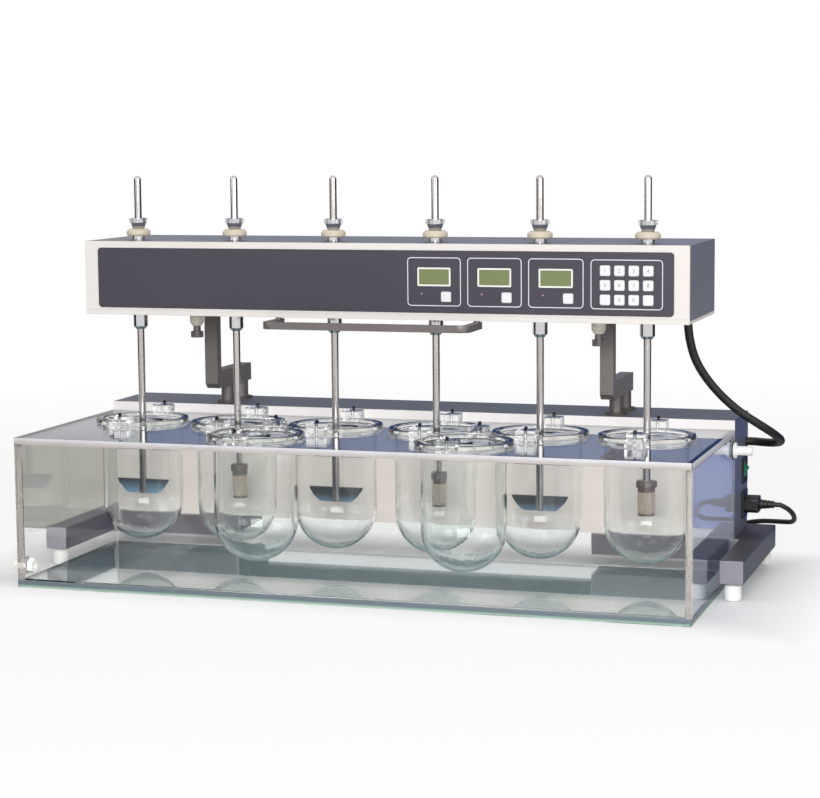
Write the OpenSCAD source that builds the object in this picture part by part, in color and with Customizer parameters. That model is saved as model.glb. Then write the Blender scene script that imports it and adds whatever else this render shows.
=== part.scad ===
// Bench dissolution tester: six stirrers over a clear water bath with eight glass vessels.
// Frame: X to the right along the stirrer row, Y to the back, Z up, millimetres.
// The origin is on the bench, below the middle of the stirrer row.

/* [Stirrers] */
// Distance between neighbouring stirrers
stir_pitch = 138; // [134:1:150]
// Diameter of a stirrer rod
rod_d = 9.5; // [9:0.1:10.2]
// Length of a stirrer from its tip to its foot
stirrer_len = 426; // [415:1:440]
// Height of a rod's tip above the head
tip_rise = 85; // [75:1:100]
// Width of a paddle along its top edge
paddle_w = 74.5; // [72:0.5:76]
// Width of a paddle along its foot
paddle_foot_w = 42; // [38:0.5:46]
// Height of a paddle
paddle_h = 19; // [17:0.5:21]
// Thickness of a paddle
paddle_t = 4; // [3:0.5:5]
// Outside diameter of a basket's drum
basket_d = 22.2; // [20:0.1:24]
// Height of a basket's drum
basket_h = 40; // [36:1:44]
// Wall of a basket's drum
basket_wall = 0.9; // [0.8:0.1:1.4]
// Outside diameter of a basket's cap
basket_cap_d = 26; // [25:0.5:28]
// Height of a basket's cap
basket_cap_h = 9; // [7:0.5:12]
// Slots around a basket
basket_slots = 20; // [12:2:24]
// Width of a basket's slots
basket_slot_w = 1.8; // [1:0.1:2]

/* [Spindles] */
// Diameter of a spindle's tube
tube_d = 14; // [13:0.5:16]
// Diameter of the chuck below the head
chuck_d = 18.8; // [17:0.1:22]
// Length of the chuck below the head
chuck_len = 22; // [18:1:26]
// Height of the cone at the chuck's mouth
chuck_cone = 4; // [2:0.5:6]
// Diameter of the hand wheel on the head
wheel_d = 32; // [30:0.5:36]
// Thickness of the hand wheel
wheel_t = 9; // [7:0.5:11]
// Diameter of the neck under the hand wheel
wheel_neck_d = 18; // [17.5:0.5:22]
// Height of the neck under the hand wheel
wheel_neck = 5; // [3:0.5:8]
// Diameter of the knurled ring on the collet nut
ring_d = 24.7; // [23:0.1:28]
// Height of the knurled ring
ring_t = 5.6; // [4:0.1:8]
// Diameter of the collet nut under its ring
nut_d = 21.5; // [19:0.1:22]
// Diameter of the collet nut at its foot
nut_foot_d = 15; // [14:0.1:17]
// Height of the collet nut under its ring
nut_h = 8.7; // [7:0.1:11]
// Outside diameter of a spindle bearing
bearing_d = 28; // [26:1:30]
// Width of a spindle bearing
bearing_w = 8; // [6:0.5:9]
// Height of a bearing boss
boss_h = 50; // [44:1:52]
// Wall of a bearing boss
boss_wall = 4; // [3:0.5:5]

/* [Drive] */
// Diameter of a spindle's belt pulley
pulley_d = 28; // [26:0.5:30]
// Teeth on a spindle's belt pulley
pulley_teeth = 36; // [30:1:40]
// Height of the belt pulleys
pulley_h = 14; // [12:0.5:16]
// Diameter of the motor's belt pulley
drive_d = 14; // [13:0.5:16]
// Teeth on the motor's belt pulley
drive_teeth = 18; // [15:1:20]
// Thickness of the belt
belt_t = 2; // [1.5:0.1:2.5]
// Width of the belt
belt_w = 10; // [8:0.5:11]
// Distance of the motor behind the stirrer row
motor_y = 88; // [80:1:95]
// Diameter of the motor
motor_d = 56; // [50:1:60]
// Height of the motor's body
motor_h = 43; // [38:1:46]
// Diameter of the motor's shaft
motor_shaft_d = 8; // [6:0.5:9]

/* [Head] */
// Distance from the end stirrers to the ends of the head
head_side = 60; // [55:1:70]
// Distance from the stirrer row to the head's front face
head_front = 40; // [38:1:46]
// Depth of the head
head_d = 176; // [165:1:190]
// Height of the head
head_h = 97; // [92:1:105]
// Height of the head above the vessel plate
head_gap = 147; // [140:1:160]
// Thickness of the head's base plate
chassis_t = 4; // [3:0.5:5]
// Height of the base plate's front lip
lip_h = 6.5; // [5:0.5:9]
// Thickness of the front panel
panel_t = 4; // [3:0.5:5]
// Sheet thickness of the covers
sheet_t = 2; // [1.5:0.1:3]
// Lift of the head
lift = 100; // [80:1:100]

/* [Control panel] */
// Width of the panel overlay
overlay_w = 772; // [740:1:790]
// Height of the panel overlay
overlay_h = 79; // [74:1:82]
// Thickness of the panel overlay
overlay_t = 0.8; // [0.6:0.1:1.2]
// Height of the overlay's middle above the head's underside
overlay_z = 49; // [48:0.5:51]
// Place of the first display right of the head's middle
display_x = 79.5; // [70:0.5:85]
// Distance between the displays
display_pitch = 79; // [74:0.5:80]
// Width of a display's frame
display_w = 43.6; // [40:0.2:48]
// Height of a display's frame
display_h = 23.5; // [21:0.5:26]
// Height of the displays above the head's underside
display_z = 55.2; // [53:0.2:57]
// Size of a key
key_s = 13; // [12:0.2:14]
// Corner radius of a key
key_corner = 2.2; // [1:0.1:3]
// Height of a key above the overlay
key_rise = 1.4; // [1.2:0.1:2]
// Travel of a key
key_travel = 0.8; // [0.5:0.1:1]
// Set key's place right of its display
set_key_x = 15.8; // [14:0.2:18]
// Set key's height above the head's underside
set_key_z = 30.2; // [28:0.2:32]
// Place of the keypad's middle right of the head's middle
keypad_x = 327; // [325:0.5:332]
// Height of the keypad's middle above the head's underside
keypad_z = 47.4; // [45:0.2:50]
// Distance between the keypad's keys
keypad_pitch = 18; // [16:0.2:19]

/* [Handle and adjusters] */
// Half width of the lifting handle
handle_half = 138; // [125:1:150]
// Reach of the handle in front of the stirrer row
handle_reach = 90; // [80:1:110]
// Distance from the ends of the handle's legs to the stirrer row
handle_stop = 25; // [18:1:27]
// Section of the handle's bar
handle_bar = 9; // [6:0.5:10]
// Radius of the handle's bends
handle_bend = 14; // [12:1:22]
// Height of the feet between the handle and the head
handle_drop = 2; // [1.5:0.5:6]
// Distance of the adjusters behind the stirrer row
adjuster_y = 30; // [26:1:40]
// Diameter of an adjuster's sleeve
sleeve_d = 18.6; // [16:0.2:22]
// Height of an adjuster's sleeve
sleeve_h = 19; // [15:0.5:23]
// Diameter of an adjuster's neck
neck_d = 10; // [8:0.5:12]
// Height of an adjuster's neck
neck_h = 8.5; // [6:0.5:11]
// Diameter of an adjuster's knurled disc
disc_d = 17; // [15:0.5:21]
// Thickness of an adjuster's knurled disc
disc_t = 7; // [5:0.5:9]

/* [Support arms] */
// Thickness of a support arm
arm_t = 18; // [16:0.5:22]
// Distance of the arm's front face behind the stirrer row
arm_y = 76; // [70:1:82]
// Depth of the arm's upright bar
arm_bar = 15; // [12:0.5:18]
// Height of the arm's lower block
arm_block = 24; // [20:0.5:28]
// Gap between the housing and the arm's lower block
arm_gap = 25; // [20:1:30]
// Length of the arm's foot under the head
arm_foot = 54; // [40:1:58]
// Thickness of the arm's foot under the head
arm_foot_t = 12; // [9:0.5:14]
// Diameter of a guide post
post_d = 18; // [16:0.5:20]
// Distance of the front posts behind the stirrer row
post_y = 134; // [130:1:138]
// Distance between an arm's two posts
post_gap = 52; // [46:1:55]
// Diameter of the spigot on a guide post's top
spigot_top_d = 10; // [8:0.5:11]
// Length of a guide bush below the housing's top
bush_len = 35; // [28:1:40]
// Wall of a guide bush
bush_wall = 3; // [2.5:0.1:4]
// Flange of a guide bush
bush_flange = 3; // [2:0.5:4]

/* [Water bath] */
// Distance from the end stirrers to the ends of the tank
tank_side = 93; // [86:1:100]
// Tank in front of the front vessels' middle
tank_fore = 82; // [80:1:95]
// Distance from the stirrer row to the tank's back
tank_back = 104; // [98:1:108]
// Height of the tank's walls
tank_h = 186; // [180:1:195]
// Thickness of the tank's walls
tank_wall = 8; // [6:0.5:10]
// Thickness of the tank's floor
tank_floor = 10; // [8:0.5:12]
// Thickness of the vessel plate
plate_t = 8; // [6:0.5:10]
// Diameter of a nozzle's spigot
spigot_d = 12; // [10:0.5:14]
// Length of the return nozzle's spigot
return_len = 20; // [16:1:26]
// Length of the drain nozzle's spigot
drain_len = 9; // [8:1:14]
// Diameter of a nozzle's collar
collar_d = 20; // [18:0.5:22]
// Thickness of a nozzle's collar
collar_t = 6; // [4:0.5:8]
// Bore of a nozzle
nozzle_bore = 7; // [5:0.5:8]
// Height of the return nozzle below the tank's rim
return_drop = 16; // [13:0.5:22]
// Distance of the return nozzle from the tank's back
return_inset = 18; // [14:1:30]
// Height of the drain nozzle above the bench
drain_z = 25; // [22:0.5:32]
// Distance of the drain nozzle from the tank's front
drain_inset = 22; // [20:1:34]

/* [Vessels] */
// Inside diameter of a vessel
vessel_id = 102; // [100:0.5:105]
// Wall of a vessel
vessel_wall = 2.5; // [2:0.1:3.5]
// Height of a vessel
vessel_h = 165; // [160:1:175]
// Outside diameter of a vessel's flange
flange_d = 124; // [118:1:130]
// Thickness of a vessel's flange
flange_t = 6; // [5:0.5:7]
// Least gap between the flanges of the two rows
row_gap = 6; // [6:0.5:10]
// Width of a vessel clip
clip_w = 24; // [20:0.5:25]
// Depth of a vessel clip behind its nose
clip_d = 17; // [14:0.5:18]
// Height of a vessel clip
clip_h = 15; // [13:0.5:18]
// Reach of a clip's nose over the flange
clip_nose = 7; // [5:0.5:8]
// Gap between a clip and the flange's edge
clip_gap = 1.5; // [0.5:0.1:2]
// Hole for a clip's screw
clip_hole_d = 4.2; // [3:0.1:5]

/* [Base and rear housing] */
// Depth of the rear housing
housing_d = 108; // [104:1:120]
// Height of the rear housing
housing_h = 154; // [150:1:165]
// Section of the base beams
beam = 30; // [26:1:34]
// Gap between the tank's side and a base beam
beam_gap = 7; // [4:0.5:12]
// Reach of a base beam in front of the stirrer row
beam_front = 45; // [35:1:60]
// Base beam behind the rear housing
beam_back = 10; // [4:1:16]
// Width of a base pad, counted from the guide posts inwards
pad_inner = 26; // [18:1:40]
// Height of a foot
foot_h = 22; // [18:0.5:26]
// Diameter of a foot
foot_d = 21; // [18:0.5:24]
// Distance of a foot from the beam's end
foot_inset = 13; // [12:0.5:20]

/* [Circulation unit] */
// Diameter of the heater canister
canister_d = 62; // [50:1:66]
// Height of the heater canister up to its shoulder
canister_h = 96; // [70:1:110]
// Diameter of the canister's neck
canister_neck_d = 24; // [18:1:30]
// Height of the canister's shoulder and of the outlet on it
shoulder_h = 10; // [6:0.5:14]
// Diameter of the pump
pump_d = 44; // [38:1:48]
// Height of the pump
pump_h = 40; // [30:1:50]
// Diameter of the pump's motor
pump_motor_d = 34; // [28:1:38]
// Height of the pump's motor
pump_motor_h = 22; // [14:1:34]
// Diameter of the pipe between canister and pump
unit_pipe_d = 14; // [10:1:18]
// Gap between canister and pump
unit_gap = 4; // [2:0.5:6]
// Thickness of the unit's foot plate
unit_plate_t = 4; // [3:0.5:6]
// Margin of the foot plate round the unit
unit_margin = 3; // [2:0.5:5]
// Gap between the foot plate and the housing's left side
unit_clear = 16; // [10:1:22]

/* [Power entry] */
// Distance of the switch and the inlet behind the stirrer row
entry_y = 180; // [176:1:184]
// Height of the switch above the bench
switch_z = 131; // [128:1:140]
// Width of the switch frame
switch_w = 30; // [28:0.5:33]
// Height of the switch frame
switch_h = 34; // [33:0.5:38]
// Radius of the rocker about its pivot
rocker_r = 13.8; // [12:0.1:14]
// Width of the rocker
rocker_w = 23; // [20:0.5:24]
// Tilt of the rocker to each side
rocker_tilt = 8; // [6:0.5:10]
// Height of the mains inlet above the bench
inlet_z = 86; // [80:1:90]
// Size of the inlet's flange
inlet_s = 36; // [33:0.5:38]
// Width of the inlet's socket
socket_w = 25; // [23:0.5:27]
// Height of the inlet's socket
socket_h = 17; // [15:0.5:19]
// Depth of the inlet's socket
socket_d = 14; // [12:0.5:18]

/* [Cords] */
// Diameter of the mains lead
lead_d = 6.5; // [6:0.1:7.5]
// Diameter of the conduit between head and housing
conduit_d = 11; // [9:0.5:12]
// Outer radius of the lead's coil, at the middle of the lead
coil_r = 44; // [42:1:48]
// Turns in each layer of the coil
coil_turns = 2.5; // [1.5:1:3.5]
// Gap between the turns of the coil
coil_gap = 0.6; // [0.5:0.05:0.9]

/* [Hidden] */
$fn = 64;

// Clearances
run_fit = 0.05;      // radial gap of a running fit
slip_fit = 0.3;      // gap round a piece that slides or drops in
cut = 1;             // how far a cutter stands past the face that it cuts

// Stirrer row and the front row of spare vessels
stirrers = 6;
half_row = stir_pitch * (stirrers - 1) / 2;
function stir_x(i) = (i - 1) * stir_pitch - half_row;
front_row = sqrt(pow(flange_d + row_gap, 2) - pow(stir_pitch / 2, 2));
vessel_places = concat([for (i = [1:stirrers]) [stir_x(i), 0]],
                       [for (s = [-1, 1]) [s * stir_pitch, -front_row]]);

// Water bath
tank_w = 2 * (half_row + tank_side);
tank_front = front_row + tank_fore;
tank_d = tank_front + tank_back;
lid_top = tank_h + plate_t;
rim_top = lid_top + flange_t;
vessel_r = vessel_id / 2 + vessel_wall;
bowl_z = rim_top - vessel_h + vessel_r;
plate_hole_d = 2 * vessel_r + 3;
clip_r = flange_d / 2 + clip_gap;
return_y = tank_back - return_inset;
return_z = tank_h - return_drop;
drain_y = drain_inset - tank_front;
nozzle_nut_t = 7;
nozzle_hole_d = spigot_d + 2 * slip_fit;

// Base and rear housing
base_top = foot_h + beam;
housing_y = tank_back + sheet_t;
housing_top = base_top + housing_h;
housing_back = tank_back + housing_d;
unit_len = canister_d + unit_gap + pump_d + 2 * unit_margin;
canister_x = unit_margin + canister_d / 2;
pump_x = unit_len - unit_margin - pump_d / 2;
beam_x = tank_w / 2 + beam_gap;
beam_end = housing_back + beam_back;
post_x = 2 * stir_pitch;
pad_x = post_x - pad_inner;
side_x = tank_w / 2;

// Head
head_w = 2 * (half_row + head_side);
head_z = lid_top + head_gap;
head_top = head_z + head_h;
head_face = -head_front;
head_back = head_d - head_front;
chassis_top = head_z + chassis_t;
lip_top = head_z + lip_h;
panel_back = head_face + panel_t;
tip_z = head_top + tip_rise;
foot_z = tip_z - stirrer_len;
boss_top = chassis_top + boss_h;
pulley_z = boss_top + 3;
belt_z = pulley_z + (pulley_h - belt_w) / 2;
tooth = 0.8;
wheel_z = head_top + 0.6;
wheel_top = wheel_z + wheel_neck + wheel_t;
tube_top = wheel_top - 2;
neck_hole_d = tube_d + 2;

// Control panel
overlay_face = head_face - overlay_t;
key_back = panel_back + 1;
board_y = panel_back + 9;
board_t = 1.6;
board_margin = 10;
standoff_d = 6;
key_hole = key_s + 2 * slip_fit;
displays = 3;
function display_place(i) = display_x + (i - 1) * display_pitch;
keypad_cols = 4;
keypad_rows = 3;
function keypad_place(k) =
    let (col = (k - 1) % keypad_cols, row = floor((k - 1) / keypad_cols))
    [keypad_x + (col - (keypad_cols - 1) / 2) * keypad_pitch,
     keypad_z - (row - (keypad_rows - 1) / 2) * keypad_pitch];
function set_key_place(i) = [display_place(i) + set_key_x, set_key_z];

// Support arms
block_low = housing_top + arm_gap;
block_top = block_low + arm_block;
block_back = post_y + post_gap + post_d / 2 + 5;
arm_chamfer = 7;
post_low = base_top + slip_fit;

// Power entry on the right side of the housing
entry_bezel = 3;
switch_body = 24;
rocker_x = side_x - rocker_r + 5.5;
rocker_pin_d = 3;
rocker_pin = 1;
cavity_r = rocker_r + slip_fit;
connector_front = side_x + entry_bezel + 18;
relief_len = 20;
relief_end = connector_front + relief_len;

// Routes of the two cords, chosen by hand. The conduit runs from the head's underside to the
// housing's right side, and the lead from its strain relief round the base to the coil.
conduit_x = head_w / 2 - 20;
conduit_y = 60;
conduit_seat = [side_x - sheet_t, 196, housing_top - 39];
conduit_route = [[conduit_x, conduit_y, chassis_top], [conduit_x, conduit_y, head_z - 9],
    [conduit_x + 2, 63, head_z - 29], [conduit_x + 8, 69, head_z - 53],
    [conduit_x + 20, 78, head_z - 77], [conduit_x + 38, 89, head_z - 101],
    [side_x + 6, 101, housing_top + 13], [side_x + 27, 113, housing_top - 3],
    [side_x + 44, 129, housing_top - 17], [side_x + 52, 151, housing_top - 29],
    [side_x + 46, 174, housing_top - 36], [side_x + 30, 190, housing_top - 39],
    [side_x + 12, 196, housing_top - 39], conduit_seat];
lead_exit = [relief_end, entry_y, inlet_z];
lead_low = lead_d / 2;
lead_route = [lead_exit, lead_exit + [7, 0, 0], lead_exit + [16, 4, -5], lead_exit + [22, 13, -13],
    lead_exit + [23, 24, -22], [relief_end + 18, beam_end - 7, base_top + 6],
    [relief_end + 8, beam_end + 1, base_top + 4], [relief_end - 6, beam_end + 7, base_top + 3],
    [relief_end - 23, beam_end + 11, base_top + 2], [relief_end - 41, beam_end + 14, base_top - 1],
    [relief_end - 59, beam_end + 17, base_top - 7], [relief_end - 77, beam_end + 20, base_top - 16],
    [relief_end - 95, beam_end + 24, base_top - 27], [relief_end - 113, beam_end + 28, lead_low + 11],
    [relief_end - 130, beam_end + 32, lead_low + 4], [relief_end - 147, beam_end + 35, lead_low + 0.8],
    [relief_end - 163, beam_end + 36, lead_low], [relief_end - 179, beam_end + 36, lead_low]];
coil_start = lead_route[len(lead_route) - 1];
coil_centre = [coil_start.x, coil_start.y + coil_r];
coil_rings = 24;
coil_step = lead_d + coil_gap;
coil_sides = 6;
plug_lead = 26;
plug_relief = 22;
plug_body = [36, 26];
plug_pin = 17;

// Points along the coil: inwards on the bench, half a turn to climb, outwards on top.
// u counts turns; the lead turns clockwise seen from above.
coil_end_u = 2 * coil_turns + 0.5;
function coil_fold(u) = u < coil_turns + 0.25 ? u : coil_end_u - u;
function coil_rise(u) =
    let (w = min(1, max(0, (u - coil_turns) / 0.5))) w * w * (3 - 2 * w);
function coil_point(u) =
    let (r = coil_r - coil_step * coil_fold(u), a = -90 - 360 * u)
    [coil_centre.x + r * cos(a), coil_centre.y + r * sin(a), lead_d / 2 + coil_step * coil_rise(u)];
coil_count = round(coil_end_u * coil_rings);
coil_points = [for (i = [0:coil_count]) coil_point(i / coil_rings)];
coil_end = coil_points[coil_count];
coil_least_gap = min([for (i = [0:coil_count], j = [i + coil_rings / 2:1:coil_count])
    norm(coil_points[i] - coil_points[j])]) - lead_d;
echo(coil_least_gap = coil_least_gap);  // mains_coil

// Tube swept along points: rings square to the route, carried along without twist
function unit(v) = v / norm(v);
function heading(p, i) = unit(p[min(i + 1, len(p) - 1)] - p[max(i - 1, 0)]);
function square_to(v, t) = unit(v - (v * t) * t);
function carried(p, i, v) =
    i == len(p) ? [] : let (n = square_to(v, heading(p, i))) concat([n], carried(p, i + 1, n));
module swept_tube(p, d, sides, start) {
    normals = carried(p, 0, start);
    rings = [for (i = [0:len(p) - 1], k = [0:sides - 1])
        let (n = normals[i], b = cross(heading(p, i), n), a = 360 * k / sides)
        p[i] + d / 2 * (cos(a) * n + sin(a) * b)];
    last = len(rings);
    wall = [for (i = [0:len(p) - 2], k = [0:sides - 1])
        let (a = i * sides + k, b = i * sides + (k + 1) % sides, c = a + sides, e = b + sides)
        each [[a, c, b], [b, c, e]]];
    near = [for (k = [0:sides - 1]) [last, k, (k + 1) % sides]];
    far = [for (k = [0:sides - 1])
        [last + 1, last - sides + (k + 1) % sides, last - sides + k]];
    polyhedron(concat(rings, [p[0], p[len(p) - 1]]), concat(wall, near, far));
}

// Shapes that repeat
module at_stirrers() {
    for (i = [1:stirrers]) translate([stir_x(i), 0, 0]) children();
}
module at_vessels() {
    for (p = vessel_places) translate([p.x, p.y, 0]) children();
}
module at_posts() {
    for (s = [-1, 1], k = [0, 1]) translate([s * post_x, post_y + k * post_gap, 0]) children();
}
module box(low, high) {
    translate(low) cube(high - low);
}
module ring(outer, inner, h) {
    difference() {
        cylinder(d = outer, h = h);
        translate([0, 0, -cut]) cylinder(d = inner, h = h + 2 * cut);
    }
}
module rounded(w, h, r) {
    square([w - 2 * r, h], center = true);
    square([w, h - 2 * r], center = true);
    for (x = [-1, 1], y = [-1, 1]) translate([x * (w / 2 - r), y * (h / 2 - r)]) circle(r);
}
// An upright plate drawn in X and Z, from its face towards the back
module upright(face, t) {
    translate([0, face + t, 0]) rotate([90, 0, 0]) linear_extrude(t) children();
}
module toothed(d, teeth, depth, h) {
    r = d / 2;
    steps = [0, 0.25, 0.4, 0.85];
    linear_extrude(h) polygon([for (k = [0:teeth - 1], s = [0:3])
        (s < 2 ? r : r - depth) * [cos(360 * (k + steps[s]) / teeth), sin(360 * (k + steps[s]) / teeth)]]);
}

// Base: on each side a beam with a pad that carries the rear housing and the posts
module base_frame() color("dimgray")
    for (s = [0, 1]) mirror([s, 0, 0]) union() {
        box([beam_x, -beam_front, foot_h], [beam_x + beam, beam_end, base_top]);
        box([pad_x, tank_back, foot_h], [beam_x + cut, beam_end, base_top]);
    }

module base_feet() color("white")
    for (s = [-1, 1], y = [foot_inset - beam_front, beam_end - foot_inset])
        translate([s * (beam_x + beam / 2), y, 0]) rotate_extrude()
            polygon([[0, 0], [foot_d / 2 - 2, 0], [foot_d / 2, 2], [foot_d / 2, foot_h - 3],
                     [foot_d / 2 - 3, foot_h], [0, foot_h]]);

// Folded cover of the rear housing: top, back and both ends
module rear_housing() color("slategray") difference() {
    box([-side_x, housing_y, base_top], [side_x, housing_back, housing_top]);
    box([-side_x + sheet_t, housing_y - cut, base_top - cut],
        [side_x - sheet_t, housing_back - sheet_t, housing_top - sheet_t]);
    at_posts() translate([0, 0, housing_top - sheet_t - cut])
        cylinder(d = post_d + 2 * bush_wall + slip_fit, h = sheet_t + 2 * cut);
    translate([side_x - sheet_t - cut, entry_y, switch_z])
        entry_cut(switch_w - 3, switch_h - 3);
    translate([side_x - sheet_t - cut, entry_y, inlet_z])
        entry_cut(inlet_s - 5, inlet_s - 9);
    translate([side_x - sheet_t - cut, conduit_seat.y, conduit_seat.z]) rotate([0, 90, 0])
        cylinder(d = conduit_d + 2 * slip_fit, h = sheet_t + 2 * cut);
}
module entry_cut(w, h) {
    box([0, -w / 2 - slip_fit, -h / 2 - slip_fit], [sheet_t + 2 * cut, w / 2 + slip_fit, h / 2 + slip_fit]);
}

module rear_panel() color("ivory")
    box([-side_x, tank_back, base_top], [side_x, housing_y, housing_top]);

module guide_bushes() color("tan") at_posts() difference() {
    union() {
        translate([0, 0, housing_top - bush_len]) cylinder(d = post_d + 2 * bush_wall, h = bush_len);
        translate([0, 0, housing_top]) cylinder(d = post_d + 4 * bush_wall, h = bush_flange);
    }
    translate([0, 0, housing_top - bush_len - cut])
        cylinder(d = post_d + 2 * run_fit, h = bush_len + bush_flange + 2 * cut);
}

// Circulation unit on the left base pad: heater canister, pump and their foot plate
module circulation_heater() color("gray")
    translate([-(side_x - sheet_t - unit_clear), (housing_y + housing_back) / 2, base_top]) {
        translate([0, -canister_d / 2 - unit_margin, 0])
            cube([unit_len, canister_d + 2 * unit_margin, unit_plate_t]);
        translate([canister_x, 0, unit_plate_t]) {
            cylinder(d = canister_d, h = canister_h);
            translate([0, 0, canister_h]) cylinder(d1 = canister_d, d2 = canister_neck_d, h = shoulder_h);
            translate([0, 0, canister_h + shoulder_h]) cylinder(d = spigot_d, h = shoulder_h);
        }
        translate([pump_x, 0, unit_plate_t]) {
            cylinder(d = pump_d, h = pump_h);
            translate([0, 0, pump_h]) cylinder(d = pump_motor_d, h = pump_motor_h);
        }
        translate([canister_x, 0, unit_plate_t + pump_h / 2]) rotate([0, 90, 0])
            cylinder(d = unit_pipe_d, h = pump_x - canister_x);
    }

// Water bath: clear tank, vessel plate and two hose nozzles
module water_tank() color("lightcyan", 0.5) difference() {
    box([-side_x, -tank_front, 0], [side_x, tank_back, tank_h]);
    box([-side_x + tank_wall, -tank_front + tank_wall, tank_floor],
        [side_x - tank_wall, tank_back - tank_wall, tank_h + cut]);
    translate([side_x - tank_wall - cut, return_y, return_z]) rotate([0, 90, 0])
        cylinder(d = nozzle_hole_d, h = tank_wall + 2 * cut);
    translate([-side_x - cut, drain_y, drain_z]) rotate([0, 90, 0])
        cylinder(d = nozzle_hole_d, h = tank_wall + 2 * cut);
}

module vessel_plate() color("lightblue", 0.5) difference() {
    box([-side_x, -tank_front, tank_h], [side_x, tank_back, lid_top]);
    at_vessels() translate([0, 0, tank_h - cut]) cylinder(d = plate_hole_d, h = plate_t + 2 * cut);
}

module vessels() color("azure", 0.5) at_vessels() difference() {
    union() {
        translate([0, 0, bowl_z]) sphere(vessel_r);
        translate([0, 0, bowl_z]) cylinder(r = vessel_r, h = rim_top - bowl_z);
        translate([0, 0, lid_top]) cylinder(d = flange_d, h = flange_t);
    }
    translate([0, 0, bowl_z]) sphere(vessel_id / 2);
    translate([0, 0, bowl_z]) cylinder(d = vessel_id, h = rim_top - bowl_z + cut);
}

// A clip stands on the plate in front of and behind each vessel, its nose over the flange
module vessel_clips() color("whitesmoke", 0.6) at_vessels()
    for (turn = [0, 180]) rotate(turn) translate([0, clip_r, lid_top]) difference() {
        translate([-clip_w / 2, 0, 0]) rotate([90, 0, 90]) linear_extrude(clip_w)
            polygon([[0, 0], [clip_d, 0], [clip_d, clip_h - 3], [clip_d - 3, clip_h],
                     [-clip_gap - clip_nose, clip_h], [-clip_gap - clip_nose, flange_t], [0, flange_t]]);
        translate([0, clip_d / 2, -cut]) cylinder(d = clip_hole_d, h = clip_h + 2 * cut);
    }

// A nozzle along +X: nut inside the wall, collar outside it, spigot for the hose
module nozzle(spigot_len) rotate([0, 90, 0]) difference() {
    union() {
        translate([0, 0, -tank_wall - nozzle_nut_t]) cylinder(d = collar_d, h = nozzle_nut_t, $fn = 6);
        translate([0, 0, -tank_wall - cut]) cylinder(d = spigot_d, h = tank_wall + 2 * cut);
        cylinder(d = collar_d, h = collar_t);
        translate([0, 0, collar_t]) cylinder(d = spigot_d, h = spigot_len);
    }
    translate([0, 0, -tank_wall - nozzle_nut_t - cut])
        cylinder(d = nozzle_bore, h = tank_wall + nozzle_nut_t + collar_t + spigot_len + 2 * cut);
}
module tank_nozzles() color("white") {
    translate([side_x, return_y, return_z]) nozzle(return_len);
    translate([-side_x, drain_y, drain_z]) mirror([1, 0, 0]) nozzle(drain_len);
}

// Switch frame with its hollow body, and the mains inlet, on the housing's right side
module power_entry() color("black") {
    translate([side_x, entry_y, switch_z]) difference() {
        union() {
            box([0, -switch_w / 2, -switch_h / 2], [entry_bezel, switch_w / 2, switch_h / 2]);
            box([-switch_body, -(switch_w - 3) / 2, -(switch_h - 3) / 2],
                [cut, (switch_w - 3) / 2, (switch_h - 3) / 2]);
        }
        translate([rocker_x - side_x, 0, 0]) rotate([90, 0, 0]) {
            cylinder(r = cavity_r, h = rocker_w + 2 * slip_fit, center = true);
            cylinder(d = rocker_pin_d + 2 * run_fit, h = rocker_w + 2 * rocker_pin + 1, center = true);
        }
        box([rocker_x - side_x, -rocker_w / 2 - slip_fit, -cavity_r],
            [entry_bezel + cut, rocker_w / 2 + slip_fit, cavity_r]);
    }
    translate([side_x, entry_y, inlet_z]) difference() {
        union() {
            box([0, -inlet_s / 2, -inlet_s / 2], [entry_bezel, inlet_s / 2, inlet_s / 2]);
            box([-switch_body, -(inlet_s - 5) / 2, -(inlet_s - 9) / 2],
                [cut, (inlet_s - 5) / 2, (inlet_s - 9) / 2]);
        }
        box([entry_bezel - socket_d, -socket_w / 2, -socket_h / 2],
            [entry_bezel + cut, socket_w / 2, socket_h / 2]);
    }
}

// Rocker: a drum about its pivot with two flats, tilted to its off side
module switch_rocker() color("limegreen")
    translate([rocker_x, entry_y, switch_z]) rotate([0, -rocker_tilt, 0]) union() {
        difference() {
            rotate([90, 0, 0]) cylinder(r = rocker_r, h = rocker_w, center = true);
            for (s = [0, 1]) mirror([0, 0, s]) rotate([0, -rocker_tilt, 0])
                translate([rocker_r * 0.78, -rocker_w, 0]) cube([rocker_r, 2 * rocker_w, 2 * rocker_r]);
            translate([-2 * rocker_r - 4, -rocker_w, -rocker_r]) cube([2 * rocker_r, 2 * rocker_w, 2 * rocker_r]);
        }
        rotate([90, 0, 0]) cylinder(d = rocker_pin_d, h = rocker_w + 2 * rocker_pin, center = true);
    }

// Posts and arms that carry the head
module guide_posts() color("gray") at_posts() union() {
    translate([0, 0, post_low]) cylinder(d = post_d, h = block_low - post_low);
    translate([0, 0, block_low - cut]) cylinder(d = spigot_top_d, h = arm_block / 2 + cut);
}

module support_arms() color("dimgray") difference() {
    for (s = [-1, 1]) translate([s * post_x - arm_t / 2, 0, 0]) rotate([90, 0, 90])
        linear_extrude(arm_t) polygon([[arm_y, head_z], [arm_y, block_low + arm_chamfer],
            [arm_y + arm_chamfer, block_low], [block_back, block_low], [block_back, block_top],
            [arm_y + arm_bar, block_top], [arm_y + arm_bar, head_z - arm_foot_t],
            [arm_y + arm_foot, head_z - arm_foot_t], [arm_y + arm_foot, head_z]]);
    at_posts() translate([0, 0, block_low - cut])
        cylinder(d = spigot_top_d + 2 * run_fit, h = arm_block / 2 + slip_fit + cut);
}

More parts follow.
